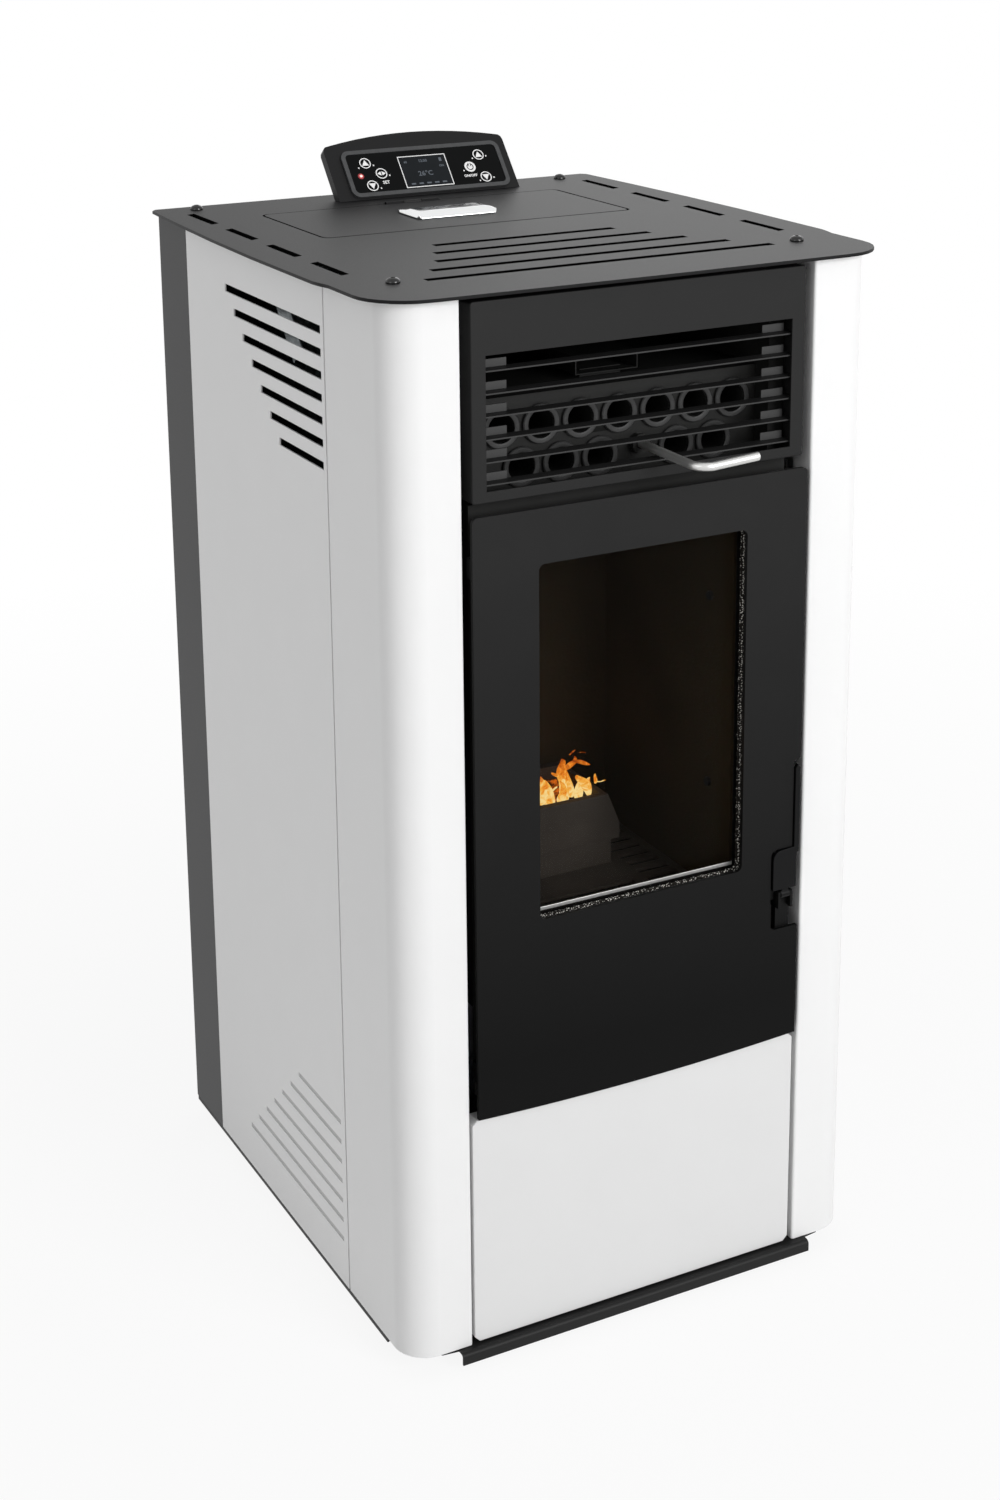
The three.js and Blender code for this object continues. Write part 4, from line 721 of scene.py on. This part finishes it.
def rope_ring(bm, half, bottom, top, depth, radius, corner, lay=9.0, lobes=4):
    """Adds a rope that runs round a rectangle with rounded corners. A flat grid is rolled into a
    tube of twisted strands, whose lay is the length of one turn, in millimetres."""
    width, height = 2 * (half - corner), top - bottom - 2 * corner
    arc = corner * math.pi / 2
    length = 2 * width + 2 * height + 4 * arc
    runs = [
        (width, Vector((-half + corner, bottom)), Vector((1, 0))),
        (height, Vector((half, bottom + corner)), Vector((0, 1))),
        (width, Vector((half - corner, top)), Vector((-1, 0))),
        (height, Vector((-half, top - corner)), Vector((0, -1))),
    ]
    steps = int(length / 1.6)
    around = 12
    grid = bmesh.ops.create_grid(bm, x_segments=steps, y_segments=around, size=1)["verts"]
    turns = round(length / lay)
    for vert in grid:
        share, angle = (vert.co.x + 1) / 2, (vert.co.y + 1) * math.pi
        left = share * length
        for run_length, origin, heading in runs:
            outward = Vector((heading.y, -heading.x))
            if left <= run_length:
                point = origin + heading * left
                break
            left -= run_length
            if left <= arc:
                swing = left / corner
                centre = origin + heading * run_length - outward * corner
                outward = outward * math.cos(swing) + heading * math.sin(swing)
                point = centre + outward * corner
                break
            left -= arc
        fat = radius * (0.9 + 0.1 * math.cos(lobes * angle - math.tau * turns * share))
        reach = point + outward * (fat * math.cos(angle))
        vert.co = mm(reach.x, depth + fat * math.sin(angle), reach.y)
    bmesh.ops.remove_doubles(bm, verts=grid, dist=1e-5)


WINDOW = (107, 433, 766)  # its half width, foot and top
REVEAL, CHANNEL = 5.4, 31  # how far each rope lies outside the window
seal = bmesh.new()
for depth in (2.7, 9.4):
    rope_ring(seal, WINDOW[0] + REVEAL, WINDOW[1] - REVEAL, WINDOW[2] + REVEAL, depth, 3.3, 9)
bmesh.ops.recalc_face_normals(seal, faces=seal.faces)
stand("reveal_rope", seal, rope_fibre, "door", ["glass_gasket"])
seal = bmesh.new()
rope_ring(
    seal, WINDOW[0] + CHANNEL, WINDOW[1] - CHANNEL, WINDOW[2] + CHANNEL, 14, 4.6, 16, lay=14
)
bmesh.ops.recalc_face_normals(seal, faces=seal.faces)
stand("door_rope", seal, rope_fibre, "door", ["door_seal"])


# ---- Fire: lining, grate, burn pot, pellets and flames ----
# Pressed vermiculite boards line the firebox. The slotted grate and the burn pot are cast iron,
# dusted with ash. The pellets are sawdust pressed to 6 mm sticks, and the flames rise from them.

# Vermiculite board: matt brown, speckled by 4 mm flakes and clouded by soot.
board, tree, shader, place = new_material("vermiculite_board", roughness=0.95, specular_ior_level=0.05)
flakes = put(tree, "ShaderNodeTexVoronoi", {"Vector": place, "Scale": 1000 / 4.0})
soot = put(tree, "ShaderNodeTexNoise", {"Vector": place, "Scale": 11.0, "Detail": 5.0})
board_tint = put(
    tree,
    "ShaderNodeMix",
    {"data_type": "RGBA", "Factor": soot.outputs[0], 6: linear("#3a3125"), 7: linear("#544836")},
)
flake_tint = put(
    tree,
    "ShaderNodeMix",
    {
        "data_type": "RGBA",
        "blend_type": "MULTIPLY",
        "Factor": 0.12,
        6: board_tint.outputs[2],
        7: flakes.outputs["Color"],
    },
)
tree.links.new(flake_tint.outputs[2], shader.inputs["Base Color"])
embossed(tree, shader, flakes.outputs["Distance"], 0.2, 0.5)
refined("fire_boards", "firebox_liner", board, "cabinet", "vermiculite", 0.8)

# Sand-cast iron: rough, dull and brownish where ash clings to it.
cast_iron, tree, shader, place = new_material(
    "ash_dusted_cast_iron", metallic=0.0, specular_ior_level=0.3
)
casting = put(tree, "ShaderNodeTexNoise", {"Vector": place, "Scale": 1000 / 2.5, "Detail": 6.0})
ash_dust = put(tree, "ShaderNodeTexNoise", {"Vector": place, "Scale": 22.0, "Detail": 4.0})
two_shades(tree, shader, ash_dust.outputs[0], "#413b35", "#625a52")
two_glosses(tree, shader, casting.outputs[0], 0.65, 0.9)
embossed(tree, shader, casting.outputs[0], 0.3, 0.8)
refined("cast_grate", "floor_grate", cast_iron, "cabinet", "cast_iron", 0.5)
refined("cast_pot", "burn_pot", cast_iron, "cabinet", "cast_iron", 1.6, segments=3)

# Burning pellets: charred brown sticks that glow orange between the char.
ember, tree, shader, place = new_material("burning_pellet", roughness=0.9, emission_strength=0.9)
fibres = put(tree, "ShaderNodeTexNoise", {"Vector": place, "Scale": 160.0, "Detail": 4.0})
char = ramp_between(tree, fibres.outputs[0], 0.4, "#1a120c", 0.62, "#8a5a30")
tree.links.new(char, shader.inputs["Base Color"])
heat = ramp_between(tree, fibres.outputs[0], 0.42, "#000000", 0.66, "#ff7a18")
tree.links.new(heat, shader.inputs["Emission Color"])

PELLET_RADIUS = 0.003
chance = random.Random(7)
bed = bmesh.new()
for layer in range(5):
    for _ in range(44):
        spot = mm(
            chance.uniform(-33 + layer, 33 - layer),
            chance.uniform(166 + layer, 222 - layer),
            436 + layer * 5.5 + chance.uniform(-2, 2),
        )
        turn = (
            Matrix.Translation(spot)
            @ Matrix.Rotation(chance.uniform(0, math.tau), 4, "Z")
            @ Matrix.Rotation(math.radians(chance.uniform(62, 118)), 4, "X")
        )
        bmesh.ops.create_cone(
            bed,
            cap_ends=True,
            segments=9,
            radius1=PELLET_RADIUS,
            radius2=PELLET_RADIUS,
            depth=chance.uniform(0.009, 0.017),
            matrix=turn,
        )
stand("pellet_bed", bed, ember, "cabinet", crease=40)

# A wood flame: it only gives light, pale yellow at its foot, orange higher up, and thin and red
# at its curling tips.
flame, tree, shader, place = new_material("wood_flame", roughness=1.0, specular_ior_level=0.0)
shader.inputs["Base Color"].default_value = (0, 0, 0, 1)
shader.inputs["Emission Strength"].default_value = 1.4
rise = put(tree, "ShaderNodeSeparateXYZ", {0: place})
reach = {"Value": rise.outputs["Z"], "From Min": 0.466, "From Max": 0.516}
height_share = put(tree, "ShaderNodeMapRange", reach)
curls = {"Vector": place, "Scale": 130, "Detail": 4, "Distortion": 1.2}
curl = put(tree, "ShaderNodeTexNoise", curls)
licks = {"operation": "MULTIPLY_ADD", 0: curl.outputs[0], 1: 1.5, 2: -0.72}
lick = put(tree, "ShaderNodeMath", licks)
both = {"operation": "ADD", 0: height_share.outputs[0], 1: lick.outputs[0]}
cooling = put(tree, "ShaderNodeMath", both).outputs[0]
between = ((0.22, "#fbb548"), (0.45, "#ea8222"), (0.72, "#b04a10"))
flame_tint = ramp_between(tree, cooling, 0.0, "#ffdf94", 1.0, "#5a1c08", between)
tree.links.new(flame_tint, shader.inputs["Emission Color"])
thin = {"Value": cooling, "From Min": 0.45, "From Max": 1.1, "To Min": 1.0, "To Max": 0.0}
thinning = put(tree, "ShaderNodeMapRange", thin)
tree.links.new(thinning.outputs[0], shader.inputs["Alpha"])

# Each tongue is its depth and then its centres and half widths, from foot to tip. Each is drawn
# fuller than that and flattened from front to back.
FULLER, FLATNESS = 1.15, 0.6
TONGUES = (
    (163, (-15, 461, 5.3), (-14, 469, 5.8), (-12, 477, 4.8), (-13, 484, 2.9), (-16, 492, 0.5)),
    (160, (-7, 460, 6.2), (-7, 467, 6.2), (-8, 475, 5.3), (-10, 482, 3.4), (-12, 488, 0.7)),
    (158, (4, 461, 5.3), (6, 468, 4.8), (8, 474, 3.1), (7, 481, 2.2), (3, 485, 0.5)),
    (
        172, (22, 455, 3.8), (22, 466, 5.3), (17, 476, 6.7), (14, 485, 6.2), (13, 492, 3.8),
        (16, 497, 3.1), (14, 500, 0.7),
    ),
    (
        171, (16, 488, 3.6), (22, 494, 4.8), (29, 496, 4.8), (35, 493, 4.3), (40, 490, 3.1),
        (44, 489, 0.7),
    ),
    (170, (15, 481, 3.8), (6, 485, 3.4), (0, 490, 1)),
    (172, (27, 495, 2.4), (29, 498, 1.7), (27, 501, 0.4)),
    (
        162, (39, 459, 1.9), (38, 465, 3.8), (35, 473, 6.2), (30, 479, 5.8), (26, 482, 3.4),
        (24, 485, 0.7),
    ),
    (163, (36, 473, 3.4), (38, 478, 1.9), (39, 480, 0.5)),
    (165, (47, 470, 1), (47, 474, 2.2), (46, 479, 1.2), (47, 481, 0.4)),
    (165, (47, 473, 1.7), (52, 471, 1.4), (57, 473, 1.7), (59, 471, 0.5)),
    (180, (27, 498, 0.7), (30, 501, 1.4), (33, 504, 0.5)),
    (180, (36, 500, 0.7), (41, 500, 1.2), (44, 498, 0.5)),
    (190, (15, 447, 5.8), (17, 455, 5.3), (15, 461, 2.9), (17, 465, 0.7)),
    (185, (41, 447, 4.3), (40, 452, 4.8), (36, 455, 2.4), (39, 456, 0.7)),
    (166, (12, 456, 5.0), (13, 466, 5.4), (12, 474, 4.6), (9, 480, 2.6), (8, 485, 0.6)),
    (168, (29, 456, 4.4), (30, 464, 5.2), (31, 471, 4.6), (33, 476, 2.2), (34, 479, 0.6)),
)
tongues = bmesh.new()
for depth, *spine in TONGUES:
    rings = []
    for step, (x, z, half) in enumerate(spine):
        centre = mm(x, depth + 1.5 * math.sin(2.1 * step + x), z)
        turn = Matrix.Translation(centre) @ Matrix.Diagonal((1, FLATNESS, 1, 1))
        radius = FULLER * half / 1000
        ring = bmesh.ops.create_circle(tongues, segments=8, radius=radius, matrix=turn)["verts"]
        rings.append({e for v in ring for e in v.link_edges})
    for lower, upper in zip(rings, rings[1:]):
        bmesh.ops.bridge_loops(tongues, edges=list(lower | upper))
    bmesh.ops.holes_fill(tongues, edges=list(rings[0] | rings[-1]), sides=8)
bmesh.ops.recalc_face_normals(tongues, faces=tongues.faces)
fire = stand("flames", tongues, flame, "cabinet")
soften = fire.modifiers.new("soft_shape", "SUBSURF")
soften.levels = 2
soften.render_levels = 2

BOLT_RADIUS = 0.0046
fixings = bmesh.new()
for z in (498, 684):
    turn = Matrix.Translation(mm(112, 62, z)) @ Matrix.Rotation(math.radians(90), 4, "Y")
    bmesh.ops.create_cone(
        fixings,
        cap_ends=True,
        segments=6,
        radius1=BOLT_RADIUS,
        radius2=BOLT_RADIUS,
        depth=0.006,
        matrix=turn,
    )
stand("board_bolts", fixings, iron_grey, "cabinet", crease=35)


# ---- Ash drawer ----
# The drawer's front is folded white sheet with cut corners, and its upper edge follows the door.
# The pan behind it is zinc-coated sheet.

# The same smooth powder coat, a shade greyer than the columns.
drawer_white = powder_coat(
    "white_powder_coat_front", "#dfdfdf", "#dcdcdc", 0.36, 0.4, 3.0, 0.0015, spread=0.01
)
DRAWER_FINISH = (drawer_white, "ash_drawer", "white_enamel")
refined("drawer_face", "ash_drawer_front", *DRAWER_FINISH, 0.9, segments=3)

# Hot-dip zinc: bluish grey, with 9 mm spangles that differ in shade and gloss.
zinc, tree, shader, place = new_material("hot_dip_zinc", metallic=1.0)
spangle = put(tree, "ShaderNodeTexVoronoi", {"Vector": place, "Scale": 1000 / 9.0})
spangle_shade = put(tree, "ShaderNodeSeparateColor", {"Color": spangle.outputs["Color"]})
two_shades(tree, shader, spangle_shade.outputs[0], "#8f9598", "#adb3b5")
two_glosses(tree, shader, spangle_shade.outputs[1], 0.32, 0.5)
refined("ash_tray", "ash_pan", zinc, "ash_drawer", "galvanised", 0.5)


# ---- Ducts, fans, hopper and feed ----
# These stand inside the cabinet and show through its slots and openings. The ducts, housings and
# hopper are zinc-coated sheet, and the turning parts are plain steel.


def dress(node, material):
    """Gives a CAD node that stays its real finish."""
    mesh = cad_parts[node].data
    mesh.materials.clear()
    mesh.materials.append(material)


for node in (
    "hopper",
    "air_duct",
    "flue_duct",
    "ash_chute",
    "auger_tube",
    "exhaust_fan_housing",
    "room_fan_housing",
    "air_intake",
    "scraper_plate",
):
    dress(node, zinc)

# A slanting zinc strap that braces the hopper behind the left slots.
BRACE_SIZE, BRACE_LEAN = (0.0012, 0.026, 0.085), math.radians(-40)
brace = bmesh.new()
bmesh.ops.create_cube(brace, size=1)
bmesh.ops.scale(brace, vec=BRACE_SIZE, verts=brace.verts)
lean = Matrix.Rotation(BRACE_LEAN, 3, "X")
bmesh.ops.rotate(brace, verts=brace.verts, cent=(0, 0, 0), matrix=lean)
bmesh.ops.translate(brace, vec=mm(-226, 258, 950), verts=brace.verts)
stand("hopper_brace", brace, zinc, "cabinet", crease=35)
for node in ("auger_screw", "exhaust_impeller", "room_fan_rotor", "igniter"):
    dress(node, steel)
for node in ("auger_gearmotor", "lid_hinge"):
    dress(node, black_coat)


# ---- Control panel ----
# A moulded black housing that leans back, with a raised grey rim round a glossy film. The film
# carries a backlit screen, a red lamp and six round keys with printed rings and signs.

PANEL_FOOT = mm(38, 493, 1009.8)
LEAN = math.radians(40)
panel_place = Matrix.Translation(PANEL_FOOT) @ Matrix.Rotation(math.pi / 2 - LEAN, 4, "X")

# Moulded ABS: black, with a fine spark-eroded grain that keeps it from mirroring.
black_plastic, tree, shader, place = new_material("moulded_black_abs", specular_ior_level=0.2)
shader.inputs["Base Color"].default_value = linear("#101011")
moulding = put(tree, "ShaderNodeTexNoise", {"Vector": place, "Scale": 1000 / 0.9, "Detail": 2.0})
two_glosses(tree, shader, moulding.outputs[0], 0.42, 0.56)
embossed(tree, shader, moulding.outputs[0], 0.03)
for node in ("mains_inlet", "control_box"):
    dress(node, black_plastic)

# The rim is the same plastic in grey, a little glossier from handling.
rim_grey = powder_coat("moulded_grey_rim", "#4a4b4c", "#323335", 0.34, 0.45, 1.4, 0.05, cloud=5)
housing = copied("control_panel_housing")
flatten = panel_place.inverted()
for face in housing.faces:
    spot = flatten @ face.calc_center_median() * 1000
    if spot.z > 0.3:
        face.material_index = 1
finishes = [black_plastic, rim_grey]
panel_housing = stand(
    "panel_housing", housing, finishes, "cabinet", ["control_panel_housing"]
)
ease(panel_housing, 0.8, segments=3)

# Printed polyester film: glossy deep black that stays darker than the housing round it.
gloss_film = mottled(
    "gloss_printed_film", "#020303", "#050607", 30, specular_ior_level=0.08, roughness=0.16
)
refined("panel_film", "control_panel_overlay", gloss_film, "cabinet", "panel_gloss", 0.2)

# Screen-printed ink: an opaque white with a faint painted glow,
# which makes it shine a little against the black film.
print_white_painted_glow = mottled(
    "screen_printed_white_painted_glow", "#e6e6e6", "#f4f4f4", 900,
    roughness=0.5, emission_strength=0.12, emission_color=linear("#ffffff"),
)

FILM_TOP = 1.5  # these two in millimetres out of the panel
KEY_TOP = 2.1
KEY_RADIUS = 6.4


def prism(bm, sides, radius, centre, z0, z1, turn=0.0, ring=0.0, material=0):
    """Adds an upright prism on the panel, or with ring a wall that thick."""
    older = set(bm.faces)
    outer = bmesh.ops.create_circle(bm, segments=sides, radius=radius)["verts"]
    edges = list({e for v in outer for e in v.link_edges})
    if ring:
        inner = bmesh.ops.create_circle(bm, segments=sides, radius=radius - ring)["verts"]
        edges += list({e for v in inner for e in v.link_edges})
        made = bmesh.ops.bridge_loops(bm, edges=edges)["faces"]
        outer += inner
    else:
        made = bmesh.ops.contextual_create(bm, geom=edges)["faces"]
    about = Matrix.Rotation(math.radians(turn), 3, "Z")
    bmesh.ops.rotate(bm, verts=outer, cent=(0, 0, 0), matrix=about)
    bmesh.ops.translate(bm, verts=outer, vec=(centre[0], centre[1], z0))
    raised = bmesh.ops.extrude_face_region(bm, geom=made)["geom"]
    tops = [g for g in raised if isinstance(g, bmesh.types.BMVert)]
    bmesh.ops.translate(bm, verts=tops, vec=(0, 0, z1 - z0))
    fresh = [f for f in bm.faces if f not in older]
    bmesh.ops.recalc_face_normals(bm, faces=fresh)
    for face in fresh:
        face.material_index = material


def printed(bm, text, size, x, y, z):
    """Adds short lettering centred at a point of the panel."""
    words = bpy.data.curves.new("lettering", "FONT")
    words.body = text
    words.size = size
    words.align_x = "CENTER"
    words.align_y = "CENTER"
    words.extrude = 0.1
    words.offset = 0.12
    words.resolution_u = 2
    holder = bpy.data.objects.new("lettering", words)
    mesh = bpy.data.meshes.new_from_object(holder)
    before = len(bm.verts)
    bm.from_mesh(mesh)
    bm.verts.ensure_lookup_table()
    bmesh.ops.translate(bm, verts=bm.verts[before:], vec=(x, y, z))
    bpy.data.objects.remove(holder)
    bpy.data.curves.remove(words)
    bpy.data.meshes.remove(mesh)


def lay_on_panel(bm):
    """Takes a shape drawn in millimetres to its place on the panel."""
    bmesh.ops.scale(bm, vec=(0.001, 0.001, 0.001), verts=bm.verts)
    bmesh.ops.transform(bm, matrix=panel_place, verts=bm.verts)


def slab(bm, x0, x1, y0, y1, z0, z1, material=0):
    """Adds a thin block to the panel."""
    block = bmesh.ops.create_cube(bm, size=1)["verts"]
    bmesh.ops.scale(bm, vec=(x1 - x0, y1 - y0, z1 - z0), verts=block)
    bmesh.ops.translate(bm, vec=((x0 + x1) / 2, (y0 + y1) / 2, (z0 + z1) / 2), verts=block)
    for face in {f for v in block for f in v.link_faces}:
        face.material_index = material


KEYS = (
    # node, across, up the slope, sign
    ("key_left_up", -63.5, 42.5, "up"),
    ("key_set", -49, 28.8, "both"),
    ("key_left_down", -63, 15, "down"),
    ("key_right_up", 68, 42.3, "up"),
    ("key_power", 53.7, 28.3, "power"),
    ("key_right_down", 68.3, 14.7, "down"),
)
for node, x, y, sign in KEYS:
    bm = bmesh.new()
    prism(bm, 40, KEY_RADIUS, (x, y), -2.3, KEY_TOP)
    low, high = KEY_TOP - 0.1, KEY_TOP + 0.12
    if sign == "power":
        prism(bm, 40, KEY_RADIUS - 0.1, (x, y), low, high, ring=2.3, material=1)
        prism(bm, 24, 4.05, (x, y - 0.2), low, high, ring=0.9, material=0)
        prism(bm, 24, 2.9, (x, y - 0.2), low, high, material=1)
        slab(bm, x - 1.5, x + 1.5, y, y + 4.6, low, high + 0.02)
        slab(bm, x - 0.7, x + 0.7, y - 0.3, y + 4.4, low, high + 0.06, material=1)
    else:
        prism(bm, 40, KEY_RADIUS - 0.1, (x, y), low, high, ring=1.05, material=1)
        if sign == "both":
            prism(bm, 3, 2.9, (x - 2.0, y), low, high, turn=90, material=1)
            prism(bm, 3, 2.9, (x + 2.0, y), low, high, turn=-90, material=1)
        else:
            turn = 0 if sign == "up" else 180
            nudge = -0.6 if sign == "up" else 0.6
            prism(bm, 3, 4.5, (x, y + nudge), low, high, turn=turn, material=1)
    lay_on_panel(bm)
    finishes = [gloss_film, print_white_painted_glow]
    stand(f"cap_{node}", bm, finishes, f"{node}_button", [node], crease=35)

labels = bmesh.new()
printed(labels, "SET", 5.0, -46.5, 18.0, FILM_TOP)
printed(labels, "ON/OFF", 4.2, 51.5, 17.8, FILM_TOP)
LEFT_MARKS = ((-71.8, 37.6), (-54.6, 39.6), (-40.2, 26.2), (-54.2, 11.6))
RIGHT_MARKS = ((60.2, 38.6), (76.6, 40.4), (45.6, 24.4), (60.4, 10.8), (77.4, 13.4))
for x, y in LEFT_MARKS + RIGHT_MARKS:
    slab(labels, x - 0.7, x + 0.7, y - 0.8, y + 0.8, FILM_TOP - 0.1, FILM_TOP + 0.12)
lay_on_panel(labels)
stand("key_labels", labels, print_white_painted_glow, "cabinet", crease=35)

# A backlit screen: dark slate, lifted just above the film by its faint blue light.
screen_dark = mottled(
    "backlit_screen", "#161819", "#1f2123", 60,
    roughness=0.2, specular_ior_level=0.06, emission_strength=0.01, emission_color=linear("#8fa0b8"),
)
SCREEN = (-24.5, 28.5, 10, 46.4)
screen = bmesh.new()
slab(screen, *SCREEN, FILM_TOP - 0.2, FILM_TOP + 0.1)
lay_on_panel(screen)
stand("screen_glass", screen, screen_dark, "cabinet", crease=35)

border = bmesh.new()
x0, x1, y0, y1 = SCREEN
for bar_box in (
    (x0 - 1, x1 + 1, y0 - 1, y0 - 0.1),
    (x0 - 1, x1 + 1, y1 + 0.1, y1 + 1),
    (x0 - 1, x0 - 0.1, y0 - 0.1, y1 + 0.1),
    (x1 + 0.1, x1 + 1, y0 - 0.1, y1 + 0.1),
):
    slab(border, *bar_box, FILM_TOP - 0.1, FILM_TOP + 0.15)
lay_on_panel(border)
stand("screen_border", border, print_white_painted_glow, "cabinet", crease=35)

# The screen's figures: dim grey-blue, only just legible from where the picture was taken.
readout_grey = mottled(
    "screen_digits", "#3b3f44", "#5a6067", 500,
    roughness=0.5, emission_strength=0.06, emission_color=linear("#9fb0c2"),
)
readout = bmesh.new()
READOUT = (("26°C", 8, 1, 25), ("12:30", 4.5, 2, 40.5), ("60", 3.5, -18, 40), ("ON", 3.5, 22, 33))
for text, size, x, y in READOUT:
    printed(readout, text, size, x, y, FILM_TOP + 0.12)
for i in range(5):
    slab(readout, -19 + i * 9, -14 + i * 9, 12.5, 14.3, FILM_TOP + 0.05, FILM_TOP + 0.18)
slab(readout, 21, 24, 38.5, 43, FILM_TOP + 0.05, FILM_TOP + 0.18)
lay_on_panel(readout)
stand("screen_readout", readout, readout_grey, "cabinet", crease=35)

# A lit red lamp: its core is nearly white, and the lens round it glows dark red.
red_lamp = mottled(
    "red_lamp", "#ff8d84", "#ffd9d2", 300, glows=True, roughness=0.25, emission_strength=1.0
)
lamp_halo = mottled(
    "lamp_lens_rim", "#5e1416", "#963034", 500, glows=True, roughness=0.3, emission_strength=0.8
)
led = bmesh.new()
for radius, height in ((3.4, 0.5), (1.7, 1.5)):
    dome = bmesh.ops.create_uvsphere(led, u_segments=20, v_segments=12, radius=radius)["verts"]
    bmesh.ops.scale(led, vec=(1, 1, height / radius), verts=dome)
    bmesh.ops.translate(led, vec=(-72.4, 27.7, FILM_TOP), verts=dome)
    for face in {f for v in dome for f in v.link_faces}:
        face.material_index = 1 if radius > 2 else 0  # the wide dome is the lens
lay_on_panel(led)
stand("alarm_lamp", led, [red_lamp, lamp_halo], "cabinet")
